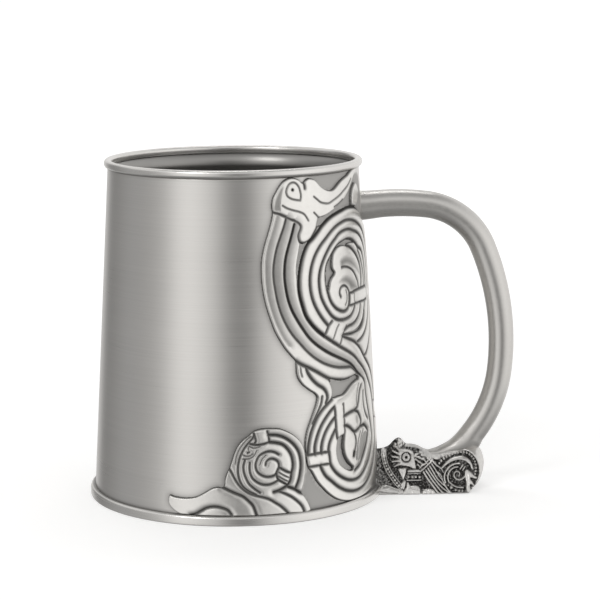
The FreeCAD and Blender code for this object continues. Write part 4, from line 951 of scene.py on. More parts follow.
# shapes on the terminal's flank: kind and where, in millimetres (x, z)
BEAST_SHAPES = [
    ("pad", dict(pts=[(44, -2), (44, 13.5), (51.3, 13.2), (51.0, 10.5), (51.4, 8.0), (52.4, 6.2), (53.6, 4.4), (54.2, 3.0), (52.0, 2.9), (50.0, 1.6), (49.0, -2)], top=-0.62, edge=0.9, spl=False)),
    ("pad", dict(pts=[(66.78, 13.19), (68.75, 13.11), (71.12, 13.53), (74.07, 14.7), (77.31, 15.41), (77.45, 14.05), (75.03, 13.4), (72.57, 12.53), (70.08, 11.48), (68.74, 10.72), (67.99, 11.58), (67.12, 12.51)], top=0.0, edge=0.8, spl=True)),
    ("cord", dict(pts=[(60.0, 15.03), (62.3, 14.89), (64.66, 14.26), (66.78, 13.19)], r=0.42, top=-0.3)),
    ("cord", dict(pts=[(51.54, 13.35), (51.26, 12.34), (51.48, 10.8), (52.09, 8.7), (53.18, 6.58), (54.56, 4.59), (55.95, 2.87), (57.02, 1.94)], r=0.17, top=-0.08)),
    ("cord", dict(pts=[(52.94, 13.69), (52.67, 12.61), (52.87, 11.18), (53.52, 9.21), (54.55, 7.3), (55.94, 5.36), (57.38, 3.63), (58.64, 2.31)], r=0.17, top=-0.08)),
    ("bead", dict(x=52.2, z=13.45, r=0.6, top=-0.02)),
    ("bead", dict(x=51.98, z=12.79, r=0.5, top=-0.12)),
    ("bead", dict(x=51.97, z=12.0, r=0.6, top=-0.02)),
    ("bead", dict(x=52.12, z=11.12, r=0.5, top=-0.12)),
    ("bead", dict(x=52.37, z=10.13, r=0.6, top=-0.02)),
    ("bead", dict(x=52.7, z=9.13, r=0.5, top=-0.12)),
    ("bead", dict(x=53.16, z=8.16, r=0.6, top=-0.02)),
    ("bead", dict(x=53.7, z=7.24, r=0.5, top=-0.12)),
    ("bead", dict(x=54.27, z=6.34, r=0.6, top=-0.02)),
    ("bead", dict(x=54.89, z=5.46, r=0.5, top=-0.12)),
    ("bead", dict(x=55.53, z=4.6, r=0.6, top=-0.02)),
    ("bead", dict(x=56.21, z=3.75, r=0.5, top=-0.12)),
    ("bead", dict(x=56.92, z=2.94, r=0.6, top=-0.02)),
    ("bead", dict(x=57.68, z=2.16, r=0.5, top=-0.12)),
    ("pad", dict(pts=[(57.41, 14.43), (59.07, 14.27), (60.58, 14.06), (62.13, 13.54), (62.69, 12.37), (62.88, 10.93), (63.06, 9.61), (63.14, 8.24), (62.26, 8.09), (61.11, 8.58), (59.66, 8.97), (58.35, 9.09), (57.2, 9.69), (57.45, 10.74), (57.07, 11.54), (57.46, 12.46), (57.15, 13.39)], top=0.3, edge=0.55, spl=True)),
    ("cord", dict(pts=[(58.49, 12.44), (56.91, 13.12), (55.18, 13.68)], r=0.62, top=0.18, r_end=0.24)),
    ("cord", dict(pts=[(58.16, 11.52), (56.71, 11.86), (54.87, 12.07)], r=0.62, top=0.18, r_end=0.24)),
    ("cord", dict(pts=[(58.12, 10.68), (56.51, 10.7), (54.8, 10.46)], r=0.62, top=0.18, r_end=0.24)),
    ("cord", dict(pts=[(58.38, 9.8), (56.9, 9.56), (55.5, 8.92)], r=0.62, top=0.18, r_end=0.24)),
    ("cord", dict(pts=[(58.38, 13.23), (57.39, 14.17), (56.18, 15.03)], r=0.62, top=0.18, r_end=0.24)),
    ("carve", dict(pts=[(61.37, 11.88), (61.23, 11.31), (60.86, 10.83), (60.33, 10.52), (59.72, 10.41), (59.12, 10.53), (58.62, 10.86), (58.3, 11.35), (58.2, 11.92), (58.35, 12.48), (58.71, 12.96), (59.25, 13.24), (59.88, 13.3), (60.48, 13.18), (60.97, 12.88), (61.28, 12.44), (61.37, 11.88)], depth=0.95, half=0.18, round_=0.22)),
    ("bead", dict(x=59.79, z=11.9, r=1.02, top=0.34)),
    ("carve", dict(pts=[(59.73, 11.9), (59.85, 11.9)], depth=1.4, half=0.36, round_=0.2)),
    ("carve", dict(pts=[(60.76, 11.88), (60.67, 11.54), (60.44, 11.25), (60.12, 11.06), (59.75, 10.99), (59.38, 11.06), (59.08, 11.27), (58.88, 11.56), (58.82, 11.91), (58.91, 12.26), (59.13, 12.55), (59.46, 12.73), (59.83, 12.78), (60.2, 12.71), (60.51, 12.52), (60.7, 12.23), (60.76, 11.88)], depth=0.3, half=0.04, round_=0.14)),
    ("bead", dict(x=58.72, z=16.9, r=0.55, top=0.2)),
    ("bead", dict(x=57.68, z=16.9, r=0.5, top=0.15)),
    ("bead", dict(x=59.34, z=16.21, r=0.45, top=0.1)),
    ("bead", dict(x=58.15, z=16.43, r=0.55, top=0.2)),
    ("bead", dict(x=57.34, z=16.11, r=0.5, top=0.3)),
    ("bead", dict(x=58.32, z=15.56, r=0.5, top=0.25)),
    ("bead", dict(x=57.43, z=15.27, r=0.62, top=0.35)),
    ("bead", dict(x=56.25, z=15.68, r=0.48, top=0.1)),
    ("bead", dict(x=55.86, z=15.02, r=0.4, top=0.05)),
    ("bead", dict(x=56.62, z=14.96, r=0.4, top=0.1)),
    ("bead", dict(x=59.26, z=15.72, r=0.35, top=0.0)),
    ("pad", dict(pts=[(56.76, 8.24), (58.17, 8.43), (59.64, 8.47), (59.66, 7.55), (59.18, 5.97), (58.45, 4.72), (57.82, 5.73), (57.23, 6.92)], top=0.22, edge=0.35, spl=True)),
    ("carve", dict(pts=[(59.1, 8.21), (58.83, 6.77), (58.42, 5.33)], depth=0.25, half=0.06, round_=0.25)),
    ("pad", dict(pts=[(60.25, 7.75), (62.25, 7.91), (64.58, 7.69), (65.08, 7.0), (63.38, 6.92), (61.04, 6.95), (60.05, 7.07)], top=-0.1, edge=0.3, spl=True)),
    ("cord", dict(pts=[(60.02, 6.49), (62.19, 6.62), (64.67, 6.48)], r=0.14, top=-0.1)),
    ("bead", dict(x=60.33, z=5.59, r=0.5, top=0.16)),
    ("bead", dict(x=61.65, z=5.57, r=0.5, top=0.16)),
    ("bead", dict(x=62.96, z=5.56, r=0.5, top=0.16)),
    ("bead", dict(x=64.25, z=5.49, r=0.5, top=0.16)),
    ("cord", dict(pts=[(59.76, 4.52), (62.1, 4.47), (64.73, 4.54)], r=0.2, top=0.04)),
    ("cord", dict(pts=[(62.98, 12.19), (63.61, 11.97), (64.25, 11.74)], r=0.42, top=0.14, r_end=0.231)),
    ("cord", dict(pts=[(64.31, 11.74), (64.89, 11.46), (65.46, 11.18)], r=0.44, top=0.14, r_end=0.24200000000000002)),
    ("cord", dict(pts=[(63.1, 11.19), (63.56, 10.92), (64.02, 10.65)], r=0.36, top=0.14, r_end=0.198)),
    ("cord", dict(pts=[(65.35, 12.33), (66.08, 12.19), (66.81, 12.06)], r=0.42, top=0.14, r_end=0.231)),
    ("cord", dict(pts=[(66.92, 12.26), (67.54, 11.91), (68.15, 11.59)], r=0.42, top=0.14, r_end=0.231)),
    ("cord", dict(pts=[(65.83, 11.26), (66.21, 10.86), (66.59, 10.45)], r=0.38, top=0.14, r_end=0.20900000000000002)),
    ("cord", dict(pts=[(67.48, 11.3), (67.91, 10.98), (68.35, 10.65)], r=0.42, top=0.14, r_end=0.231)),
    ("cord", dict(pts=[(64.07, 10.49), (64.64, 10.17), (65.21, 9.85)], r=0.42, top=0.14, r_end=0.231)),
    ("cord", dict(pts=[(65.18, 9.24), (65.84, 9.44), (66.49, 9.65)], r=0.44, top=0.14, r_end=0.24200000000000002)),
    ("cord", dict(pts=[(63.82, 9.49), (64.21, 9.12), (64.6, 8.75)], r=0.36, top=0.14, r_end=0.198)),
    ("cord", dict(pts=[(66.75, 10.14), (67.03, 9.82), (67.31, 9.5)], r=0.34, top=0.14, r_end=0.18700000000000003)),
    ("cord", dict(pts=[(63.12, 12.52), (63.68, 12.68), (64.24, 12.81)], r=0.32, top=0.14, r_end=0.17600000000000002)),
    ("cord", dict(pts=[(64.78, 13.08), (65.33, 12.91), (65.88, 12.73)], r=0.34, top=0.14, r_end=0.18700000000000003)),
    ("cord", dict(pts=[(62.54, 10.36), (62.63, 9.88), (62.73, 9.4)], r=0.3, top=0.14, r_end=0.165)),
    ("cord", dict(pts=[(68.51, 11.79), (68.68, 11.53), (68.87, 11.25)], r=0.34, top=0.14, r_end=0.18700000000000003)),
    ("cord", dict(pts=[(64.93, 7.53), (66.08, 8.38), (67.6, 9.6), (69.13, 10.71)], r=0.3, top=0.3)),
    ("cord", dict(pts=[(64.32, 8.28), (65.53, 9.1), (67.06, 10.28), (68.48, 11.15)], r=0.16, top=0.05)),
    ("cord", dict(pts=[(65.73, 7.07), (67.09, 4.95), (68.74, 2.83), (70.39, 0.71), (71.56, -0.2)], r=0.4, top=0.22, r_end=0.34)),
    ("cord", dict(pts=[(66.57, 7.67), (68.05, 5.46), (69.92, 2.95), (71.58, 1.09), (73.03, -0.14)], r=0.36, top=0.2, r_end=0.28)),
    ("cord", dict(pts=[(67.31, 8.29), (68.76, 6.11), (70.26, 3.99), (72.21, 2.0), (74.76, 0.23)], r=0.34, top=0.18, r_end=0.22)),
    ("cord", dict(pts=[(68.04, 8.91), (69.24, 7.03), (70.32, 5.17), (71.71, 3.71), (73.68, 2.11)], r=0.34, top=0.18, r_end=0.2)),
    ("cord", dict(pts=[(68.78, 9.59), (70.01, 7.81), (71.23, 5.82), (72.6, 3.96)], r=0.32, top=0.16, r_end=0.16)),
    ("cord", dict(pts=[(69.41, 10.14), (70.51, 9.12), (71.93, 8.18), (72.8, 6.8)], r=0.34, top=0.2, r_end=0.16)),
    ("cord", dict(pts=[(70.85, 7.01), (71.82, 5.94), (72.4, 4.54)], r=0.26, top=0.1, r_end=0.14)),
    ("pad", dict(pts=[(69.34, 11.21), (71.01, 12.15), (72.72, 12.74), (74.66, 14.09), (77.02, 14.96), (79.98, 15.13), (83.08, 14.86), (85.47, 14.33), (87.08, 13.45), (88.58, 11.01), (88.75, 7.67), (88.19, 4.34), (87.02, 1.01), (85.26, -1.86), (83.5, -4.12), (83.49, -2.44), (83.82, 2.06), (85.18, 4.91), (85.46, 7.19), (85.05, 9.44), (84.05, 11.49), (82.56, 12.85), (80.35, 13.61), (77.75, 13.52), (75.38, 12.98), (72.97, 11.94), (70.8, 10.68)], top=0.34, edge=0.7, spl=True)),
    ("bead", dict(x=71.48, z=9.71, r=0.4, top=0.02)),
    ("bead", dict(x=72.25, z=10.43, r=0.4, top=0.02)),
    ("bead", dict(x=73.2, z=11.1, r=0.4, top=0.02)),
    ("bead", dict(x=74.2, z=11.64, r=0.4, top=0.02)),
    ("bead", dict(x=75.24, z=12.1, r=0.4, top=0.02)),
    ("bead", dict(x=76.26, z=12.46, r=0.4, top=0.02)),
    ("bead", dict(x=77.29, z=12.75, r=0.4, top=0.02)),
    ("bead", dict(x=78.37, z=12.99, r=0.4, top=0.02)),
    ("bead", dict(x=79.43, z=13.09, r=0.4, top=0.02)),
    ("bead", dict(x=80.47, z=13.03, r=0.4, top=0.02)),
    ("bead", dict(x=81.43, z=12.78, r=0.4, top=0.02)),
    ("bead", dict(x=82.32, z=12.35, r=0.4, top=0.02)),
    ("bead", dict(x=83.08, z=11.76, r=0.4, top=0.02)),
    ("bead", dict(x=83.7, z=11.03, r=0.4, top=0.02)),
    ("bead", dict(x=84.09, z=10.14, r=0.4, top=0.02)),
    ("bead", dict(x=84.33, z=9.15, r=0.4, top=0.02)),
    ("bead", dict(x=84.4, z=8.11, r=0.4, top=0.02)),
    ("bead", dict(x=84.22, z=7.09, r=0.4, top=0.02)),
    ("bead", dict(x=83.93, z=6.12, r=0.4, top=0.02)),
    ("pad", dict(pts=[(71.87, 8.18), (73.02, 9.35), (74.4, 10.51), (76.09, 11.45), (78.03, 11.93), (79.94, 11.92), (81.5, 11.33), (82.61, 10.28), (83.18, 8.95), (83.28, 7.5), (82.81, 7.64), (82.1, 9.1), (80.84, 10.17), (79.25, 10.67), (77.49, 10.64), (75.7, 10.11), (73.89, 9.15), (72.67, 8.17)], top=0.1, edge=0.45, spl=True)),
    ("cord", dict(pts=[(73.32, 3.64), (73.0, 5.01), (73.22, 6.45), (74.03, 7.83), (75.34, 8.92), (76.99, 9.56), (78.7, 9.67)], r=0.3, top=0.2)),
    ("cord", dict(pts=[(74.47, 3.88), (74.24, 5.2), (74.55, 6.56), (75.37, 7.66), (76.58, 8.38), (77.97, 8.57)], r=0.26, top=0.2)),
    ("cord", dict(pts=[(78.72, 7.93), (79.23, 8.56), (79.79, 9.24)], r=0.26, top=0.28)),
    ("cord", dict(pts=[(79.52, 7.5), (80.02, 8.12), (80.53, 8.7)], r=0.24, top=0.28)),
    ("cord", dict(pts=[(80.63, 6.35), (79.68, 5.05), (78.33, 4.46), (76.98, 4.9), (76.39, 5.96), (76.91, 6.95), (77.98, 7.1), (78.52, 6.35), (78.02, 5.68)], r=0.34, top=0.26, r_end=0.2)),
    ("cord", dict(pts=[(74.78, 3.72), (76.05, 2.73), (77.62, 2.11), (79.52, 1.98)], r=0.24, top=0.14)),
    ("cord", dict(pts=[(72.65, 3.75), (73.53, 2.11), (74.77, 0.65), (76.24, -0.3)], r=0.26, top=0.14)),
    ("bead", dict(x=74.29, z=2.76, r=0.35, top=0.2)),
    ("bead", dict(x=75.28, z=2.04, r=0.6, top=0.2)),
    ("bead", dict(x=76.79, z=1.23, r=0.42, top=0.2)),
    ("bead", dict(x=78.0, z=1.01, r=0.4, top=0.2)),
    ("bead", dict(x=79.17, z=0.94, r=0.4, top=0.2)),
    ("cord", dict(pts=[(76.24, -0.12), (78.29, -0.28), (80.04, -0.25)], r=0.2, top=0.1)),
    ("pad", dict(pts=[(80.4, 7.49), (81.44, 7.63), (82.43, 6.99), (83.55, 5.76), (84.84, 4.58), (83.89, 4.55), (82.76, 5.01), (82.18, 5.1), (82.63, 4.07), (84.87, -0.02), (83.34, 1.7), (82.08, 3.0), (81.93, 1.82), (83.49, -2.13), (81.81, -0.88), (80.63, 0.53), (80.4, 2.02), (80.48, 3.59), (80.26, 4.91), (80.11, 6.36)], top=0.5, edge=0.42, spl=True)),
    ("carve", dict(pts=[(81.08, 6.48), (81.42, 4.63), (81.26, 2.8), (81.35, 1.09)], depth=0.22, half=0.05, round_=0.25)),
    ("cord", dict(pts=[(82.84, 1.41), (84.37, -1.54), (83.87, -2.44)], r=0.3, top=0.12)),
    ("pad", dict(pts=[(49.95, 1.77), (50.78, 2.88), (52.4, 3.18), (54.42, 2.63), (56.43, 1.94), (58.31, 1.4), (58.43, -0.45), (49.67, -0.32)], top=0.1, edge=0.4, spl=True)),
    ("carve", dict(pts=[(51.19, 2.28), (52.96, 2.51), (54.97, 1.89), (56.99, 1.23)], depth=0.42, half=0.12, round_=0.3)),
    ("carve", dict(pts=[(50.27, 0.98), (53.17, 0.54), (56.37, 0.36)], depth=0.45, half=0.1, round_=0.25)),
    ("pad", dict(pts=[(58.57, -0.46), (58.5, 1.13), (59.37, 2.3), (59.67, 3.81), (60.37, 3.86), (60.8, 2.93), (62.32, 2.91), (64.05, 2.37), (64.35, 1.32), (63.97, -0.54)], top=0.22, edge=0.4, spl=True)),
    ("carve", dict(pts=[(60.54, 2.28), (62.27, 1.87), (63.72, 1.59)], depth=0.35, half=0.09, round_=0.25)),
    ("pad", dict(pts=[(57.51, 3.11), (58.58, 4.41), (59.31, 4.4), (59.1, 2.83), (58.46, 1.53)], top=0.05, edge=0.3, spl=True)),
    ("pad", dict(pts=[(65.2, -0.56), (65.09, 1.05), (66.21, 1.74), (67.88, 1.79), (69.25, 1.25), (70.11, -0.63)], top=0.18, edge=0.4, spl=True)),
    ("carve", dict(pts=[(66.93, 1.68), (67.17, 0.34)], depth=0.3, half=0.07, round_=0.25)),
    ("carve", dict(pts=[(68.24, 1.53), (68.63, 0.32)], depth=0.3, half=0.07, round_=0.25)),
    ("pad", dict(pts=[(47, -1.5), (88, -1.5), (88, 0.55), (47, 0.55)], top=-0.25, edge=0.45, spl=False)),
]


# ------------------------------------------------------------------ beast terminal
BODY = [
    (44.0, -6.0), (44.0, 13.0), (46.0, 13.1), (49.0, 13.3), (52.0, 13.6), (54.2, 14.6), (55.6, 16.2), (57.0, 17.3), (58.5, 17.2), (59.4, 16.2), (60.4, 15.2), (62.4, 15.0),
    (64.6, 14.4), (66.6, 13.3), (69.0, 12.5), (72.0, 12.6), (75.5, 13.6), (79.5, 14.5), (83.0, 14.9), (85.4, 14.4), (86.8, 13.0), (87.6, 11.2), (88.0, 9.2), (87.9, 7.0),
    (87.3, 4.8), (86.4, 2.8), (85.2, 1.2), (84.0, 0.0), (82.6, -3.0), (80.0, -6.0), (62.0, -8.0),
]
T_LOW = 0.05                           # the underside


def wedge(z):
    """Half width of the terminal's body at a height."""
    return 13.7 - 9.1 * np.clip(z, 0, 17) / 16.2


def body_round(x):
    return 3.0 + 1.9 * smooth((np.asarray(x, float) - 76.0) / 10.0)


class Beast(Canvas):
    """Heights on the terminal's flank: cast shapes raised out of a dark ground."""

    def __init__(self, *a):
        super().__init__(*a)
        self.ground = -0.85
        self.level = np.full(self.A.shape, self.ground)

    def pad(self, pts, top=0.0, edge=0.5, spl=True):
        p = spline(pts, 0.25, closed=True) if spl else np.vstack([pts, pts[0]])
        D = self.signed(np.asarray(p, float), edge + 0.6)
        g = self.ground
        self.level = np.maximum(self.level, np.where(D > 0, g + (top - g) * rounded(D / edge), g))

    def bead(self, x, z, r, top=0.0):
        D = np.hypot(self.A - x, self.B - z) / r
        g = self.ground
        self.level = np.maximum(self.level, np.where(D < 1, g + (top - g) * np.sqrt(np.clip(1 - D ** 2, 0, 1)), g))

    def cord(self, pts, r, top=0.0, r_end=None, spl=True):
        """A rounded strand of half width r along a line, narrowing to r_end."""
        p = spline(pts, 0.25) if spl else np.asarray(pts, float)
        D, T_ = self.distance(p, max(r, r_end or 0) + 0.2)
        rr = r if r_end is None else r + (r_end - r) * T_
        g = self.ground
        q = D / rr
        self.level = np.maximum(self.level, np.where(q < 1, g + (top - g) * np.sqrt(np.clip(1 - q ** 2, 0, 1)) ** 0.8, g))

    def carve(self, pts, depth, half, round_=0.3, spl=True):
        p = spline(pts, 0.25) if spl else np.asarray(pts, float)
        D, _ = self.distance(p, half + round_ + 0.1)
        k = depth * (1 - rounded((D - half) / round_))
        self.level = np.maximum(self.ground - 0.05, self.level - k)


beast = Beast(48.0, 48.0 + 0.15 * 272, T_LOW, T_LOW + 0.15 * 124, 0.15)
body_line = spline(BODY, 0.4, closed=True)
seg_len = np.hypot(*np.diff(body_line, axis=0).T)
far_D, far_T = beast.distance(body_line, 8.0)
inside = beast.signed(body_line, 8.0)
for kind, args in BEAST_SHAPES:
    getattr(beast, kind)(**args)
# the body's shoulders, near its top outline, are smooth
shoulder = smooth(1.2 - inside / 1.6) * smooth((beast.A - 65.0) / 2.5) * smooth((beast.B - 8.0) / 1.5)
beast.level = np.maximum(beast.level, beast.ground + (0.02 - beast.ground) * shoulder)
# hammered and pitted ground
rng = np.random.default_rng(7)
pit = rng.random(beast.level.shape)
for _ in range(2):
    pit = (pit + np.roll(pit, 1, 0) + np.roll(pit, -1, 0) + np.roll(pit, 1, 1) + np.roll(pit, -1, 1)) / 5
pit = (pit - pit.mean()) / pit.std()
low_part = 1 - smooth((beast.level - beast.ground) / 0.5)
beast.level = beast.level + np.clip(pit, -2, 2) * (0.035 + 0.055 * low_part)
lev = beast.level
rel = np.clip((lev - beast.ground) / 0.85, 0, 1.3)
b_dark = np.clip(1.0 - smooth((rel - 0.02) / 0.85), 0, 1) * (1 - 0.5 * shoulder)
# a darker band just inside the body's top outline, on its rounded shoulder: painted shade
b_dark = np.maximum(b_dark, 0.30 * smooth(1.3 - inside / 1.6) * smooth((beast.A - 59.5) / 1.5) * smooth((79.0 - beast.A) / 3.0))
b_dark = np.clip(b_dark * (0.93 - 0.17 * np.clip(pit, -0.4, 2.0)), 0, 1)

roundness = rounded(np.maximum(inside, 0) / body_round(beast.A))
foot_ease = 0.40 * (1 - rounded((beast.B - T_LOW) / 0.8))
half = (wedge(beast.B) - foot_ease) * roundness + lev * np.minimum(roundness * 1.4, 1.0)
half = np.maximum(half, 0.02)
cell = (inside[:-1, :-1] > 0) | (inside[1:, :-1] > 0) | (inside[:-1, 1:] > 0) | (inside[1:, 1:] > 0)
used = np.zeros(inside.shape, bool)
used[:-1, :-1] |= cell
used[1:, :-1] |= cell
used[:-1, 1:] |= cell
used[1:, 1:] |= cell
onedge = used & (inside <= 0)
# vertices outside the outline are drawn back on to it
X, Z = beast.A.copy(), beast.B.copy()
cum = np.concatenate([[0], np.cumsum(seg_len)])
X[onedge] = np.interp(far_T[onedge] * cum[-1], cum, body_line[:, 0])
Z[onedge] = np.maximum(np.interp(far_T[onedge] * cum[-1], cum, body_line[:, 1]), T_LOW)
half[onedge] = 0.0
# the left end follows the wall
ease = smooth((51.5 - beast.A) / 3.5)
face = np.sqrt((wall_radius(Z) - 0.7) ** 2 - half ** 2)
X = X + (face - 48.0) * ease * (beast.A < 51.5)
nj, ni = inside.shape
near = np.full((nj, ni), -1)
free = used & ~onedge
low_free = free.copy()
near[used] = np.arange(used.sum())
nn = int(used.sum())
farv = near.copy()
farv[free] = nn + np.arange(free.sum())
pts_near = np.stack([X[used], -half[used], Z[used]], -1)
pts_far = np.stack([X[free], half[free], Z[free]], -1)
cj, ci = np.nonzero(cell)
q1 = np.stack([near[cj, ci], near[cj, ci + 1], near[cj + 1, ci + 1], near[cj + 1, ci]], -1)
q2 = np.stack([farv[cj, ci], farv[cj + 1, ci], farv[cj + 1, ci + 1], farv[cj, ci + 1]], -1)
extra, count = [], nn + int(free.sum())
KY = 8
# wall side: a curved sheet between the near and far faces
jtop = int(np.nonzero(cell[:, 0])[0].max()) + 1
left = []
for j in range(jtop + 1):
    h = half[j, 0]
    if onedge[j, 0] or h <= 0:
        left.append([int(near[j, 0])])
        continue
    row = [int(near[j, 0])]
    for k in range(1, KY):
        y = -h + 2 * h * k / KY
        extra.append([math.sqrt((float(wall_radius(Z[j, 0])) - 0.7) ** 2 - y * y), y, Z[j, 0]])
        row.append(count)
        count += 1
    row.append(int(farv[j, 0]))
    left.append(row)
sheet = []
for j in range(jtop):
    a, b = left[j], left[j + 1]
    if len(a) > 1 and len(b) > 1:
        sheet += [[a[k], b[k], b[k + 1], a[k + 1]] for k in range(KY)]
    elif len(a) > 1:
        sheet += [[a[k], b[0], a[k + 1]] for k in range(KY)]
base = [int(near[0, i]) for i in range(ni) if used[0, i]]
base_far = [int(farv[0, i]) for i in range(ni) if used[0, i] and not onedge[0, i]]
poly = base + base_far[::-1] + left[0][1:-1][::-1]
verts = np.vstack([pts_near, pts_far] + ([np.array(extra)] if extra else []))
# the sheet against the wall is fully dark: painted shade
dk = np.concatenate([b_dark[used], b_dark[free], np.ones(len(extra))])
terminal = make_object("terminal_beast", verts, [q1, q2] + sheet + [poly[::-1]], {"patina_and_shade": dk})
dress(terminal, PEWTER_OXIDE, "beast_terminal")


# ------------------------------------------------------------------ floor, light, camera
def plain(name, colour, glow):
    mat = bpy.data.materials.new(name)
    mat.use_nodes = True
    nt = mat.node_tree
    b = nt.nodes["Principled BSDF"]
    noise = nt.nodes.new("ShaderNodeTexNoise")
    noise.inputs["Scale"].default_value = 3.0
    ramp = nt.nodes.new("ShaderNodeValToRGB")
    ramp.color_ramp.elements[0].color = (colour * 0.985, colour * 0.985, colour * 0.98, 1)
    ramp.color_ramp.elements[1].color = (colour, colour, colour, 1)
    nt.links.new(noise.outputs["Fac"], ramp.inputs["Fac"])
    nt.links.new(ramp.outputs["Color"], b.inputs["Base Color"])
    b.inputs["Roughness"].default_value = 0.9
    b.inputs["Specular IOR Level"].default_value = 0.0
    b.inputs["Emission Color"].default_value = (1, 1, 1, 1)
    # the glow is a little weaker close to the tankard: a painted shadow round it, added to the soft shadow the lights
    # cast
    tex = nt.nodes.new("ShaderNodeTexCoord")
    far = nt.nodes.new("ShaderNodeVectorMath")
    far.operation = "LENGTH"
    nt.links.new(tex.outputs["Object"], far.inputs[0])
    fall = nt.nodes.new("ShaderNodeMapRange")
    fall.inputs["From Min"].default_value = 0.05
    fall.inputs["From Max"].default_value = 0.80
    fall.inputs["To Min"].default_value = glow
    fall.inputs["To Max"].default_value = glow + 0.14
    nt.links.new(far.outputs["Value"], fall.inputs["Value"])
    nt.links.new(fall.outputs["Result"], b.inputs["Emission Strength"])
    return mat


z_floor = cad_box[0][2]
segs, rings_ = 96, [(0.0, 0.0), (0.6, 0.0), (2.0, 0.0), (8.0, 0.0), (9.2, 0.25), (9.9, 0.9), (10.2, 2.0), (10.2, 6.0)]
fv, ff = [(0, 0, z_floor)], []
for r, z in rings_[1:]:
    fv += [(r * math.cos(2 * math.pi * k / segs), r * math.sin(2 * math.pi * k / segs), z_floor + z) for k in range(segs)]
for k in range(segs):
    ff.append((0, 1 + k, 1 + (k + 1) % segs))
for q in range(len(rings_) - 2):
    a = 1 + q * segs
    for k in range(segs):
        ff.append((a + k, a + segs + k, a + segs + (k + 1) % segs, a + (k + 1) % segs))
fm = bpy.data.meshes.new("studio_floor")
fm.from_pydata(fv, [], ff)
fm.polygons.foreach_set("use_smooth", [True] * len(fm.polygons))
fm.update()
floor = bpy.data.objects.new("studio_floor", fm)
bpy.context.scene.collection.objects.link(floor)
fm.materials.append(plain("studio_white", 0.86, FLOOR_GLOW))
floor.visible_glossy = False
floor.visible_diffuse = False

# studio surround: one strip of brightness per azimuth, measured from +X towards the camera
world = bpy.data.worlds.new("studio")
bpy.context.scene.world = world
world.use_nodes = True
wt = world.node_tree
wt.nodes.clear()
tc = wt.nodes.new("ShaderNodeTexCoord")
sep = wt.nodes.new("ShaderNodeSeparateXYZ")
wt.links.new(tc.outputs["Generated"], sep.inputs[0])
neg = wt.nodes.new("ShaderNodeMath")
neg.operation = "MULTIPLY"
neg.inputs[1].default_value = -1.0
wt.links.new(sep.outputs["Y"], neg.inputs[0])
at = wt.nodes.new("ShaderNodeMath")
at.operation = "ARCTAN2"
wt.links.new(neg.outputs[0], at.inputs[0])
wt.links.new(sep.outputs["X"], at.inputs[1])
turn = wt.nodes.new("ShaderNodeMath")
turn.operation = "MULTIPLY_ADD"
turn.inputs[1].default_value = 1 / (2 * math.pi)
turn.inputs[2].default_value = 0.5
wt.links.new(at.outputs[0], turn.inputs[0])
ramp = wt.nodes.new("ShaderNodeValToRGB")
wt.links.new(turn.outputs[0], ramp.inputs["Fac"])
els = ramp.color_ramp.elements
stops = sorted((((az + 180) % 360) / 360, lum) for az, lum in SURROUND)
while len(els) > 1:
    els.remove(els[-1])
els[0].position = stops[0][0]
els[0].color = (stops[0][1] / 4,) * 3 + (1,)
for pos, lum in stops[1:]:
    e = els.new(pos)
    e.color = (lum / 4, lum / 4 * 0.993, lum / 4 * 0.98, 1)
# above and below, brightness goes by height
els_v = wt.nodes.new("ShaderNodeMath")
els_v.operation = "MULTIPLY_ADD"
els_v.inputs[1].default_value = 0.5
els_v.inputs[2].default_value = 0.5
wt.links.new(sep.outputs["Z"], els_v.inputs[0])
ramp2 = wt.nodes.new("ShaderNodeValToRGB")
wt.links.new(els_v.outputs[0], ramp2.inputs["Fac"])
els2 = ramp2.color_ramp.elements
while len(els2) > 1:
    els2.remove(els2[-1])
els2[0].position = 0.0
els2[0].color = (ABOVE[0][1] / 4,) * 3 + (1,)
for zz_, lum in ABOVE[1:]:
    e = els2.new(zz_ * 0.5 + 0.5)
    e.color = (lum / 4, lum / 4 * 0.997, lum / 4 * 0.99, 1)
absz = wt.nodes.new("ShaderNodeMath")
absz.operation = "ABSOLUTE"
wt.links.new(sep.outputs["Z"], absz.inputs[0])
topm = wt.nodes.new("ShaderNodeMapRange")
topm.interpolation_type = "SMOOTHSTEP"
topm.inputs["From Min"].default_value = 0.28
topm.inputs["From Max"].default_value = 0.60
wt.links.new(absz.outputs[0], topm.inputs["Value"])
mixw = wt.nodes.new("ShaderNodeMix")
mixw.data_type = "RGBA"
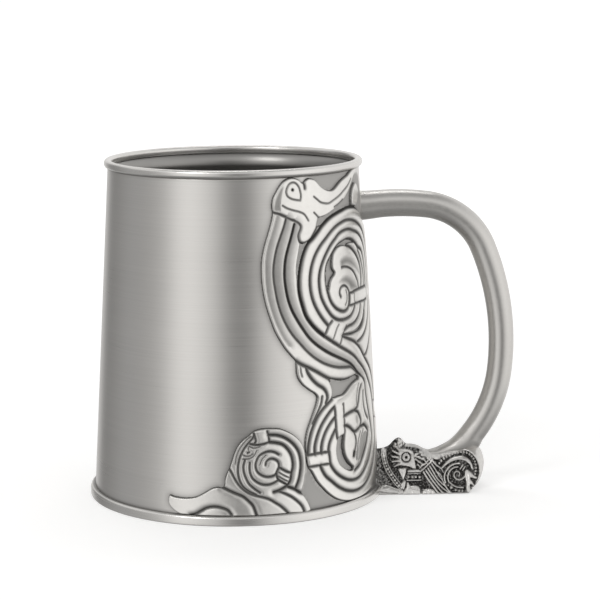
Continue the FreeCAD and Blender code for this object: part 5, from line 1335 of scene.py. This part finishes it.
wt.links.new(topm.outputs["Result"], mixw.inputs["Factor"])
wt.links.new(ramp.outputs["Color"], mixw.inputs["A"])
wt.links.new(ramp2.outputs["Color"], mixw.inputs["B"])
bg = wt.nodes.new("ShaderNodeBackground")
bg.inputs["Strength"].default_value = 4.0
wt.links.new(mixw.outputs["Result"], bg.inputs["Color"])
wo = wt.nodes.new("ShaderNodeOutputWorld")
wt.links.new(bg.outputs[0], wo.inputs[0])


def softbox(name, where, aim, size, watts, size_y=None):
    data = bpy.data.lights.new(name, "AREA")
    data.shape = "RECTANGLE"
    data.size = size
    data.size_y = size_y or size
    data.energy = watts
    data.color = (1.0, 0.995, 0.985)
    obj = bpy.data.objects.new(name, data)
    bpy.context.scene.collection.objects.link(obj)
    d = Vector(aim) - Vector(where)
    obj.matrix_world = Matrix.Translation(Vector(where)) @ d.to_track_quat("-Z", "Y").to_matrix().to_4x4()
    return obj


for name, where, size, watts, size_y in LIGHTS:
    softbox(name, where, (0.02, 0, 0.06), size, watts, size_y)

# camera: the photograph's viewpoint, a little above the rim's height, the handle in profile
yaw, pitch, roll = CAM_YAW, CAM_PITCH, CAM_ROLL
fwd = Vector((math.sin(yaw) * math.cos(pitch), math.cos(yaw) * math.cos(pitch), -math.sin(pitch)))
right = Vector((math.cos(yaw), -math.sin(yaw), 0.0))
up = right.cross(fwd)
r2 = right * math.cos(roll) + up * math.sin(roll)
u2 = -right * math.sin(roll) + up * math.cos(roll)
cam_data = bpy.data.cameras.new("camera")
cam_data.lens = 36.0 * CAM_FOCAL / 600.0
cam_data.sensor_width = 36.0
cam_data.clip_start = 0.01
cam_data.clip_end = 60.0
cam = bpy.data.objects.new("camera", cam_data)
bpy.context.scene.collection.objects.link(cam)
rot = Matrix((r2, u2, -fwd)).transposed().to_4x4()
cam.matrix_world = Matrix.Translation(Vector((0.0, -CAM_BACK * MM, CAM_UP * MM))) @ rot
bpy.context.scene.camera = cam
bpy.context.scene.view_settings.view_transform = "Standard"
bpy.context.scene.view_settings.look = "None"
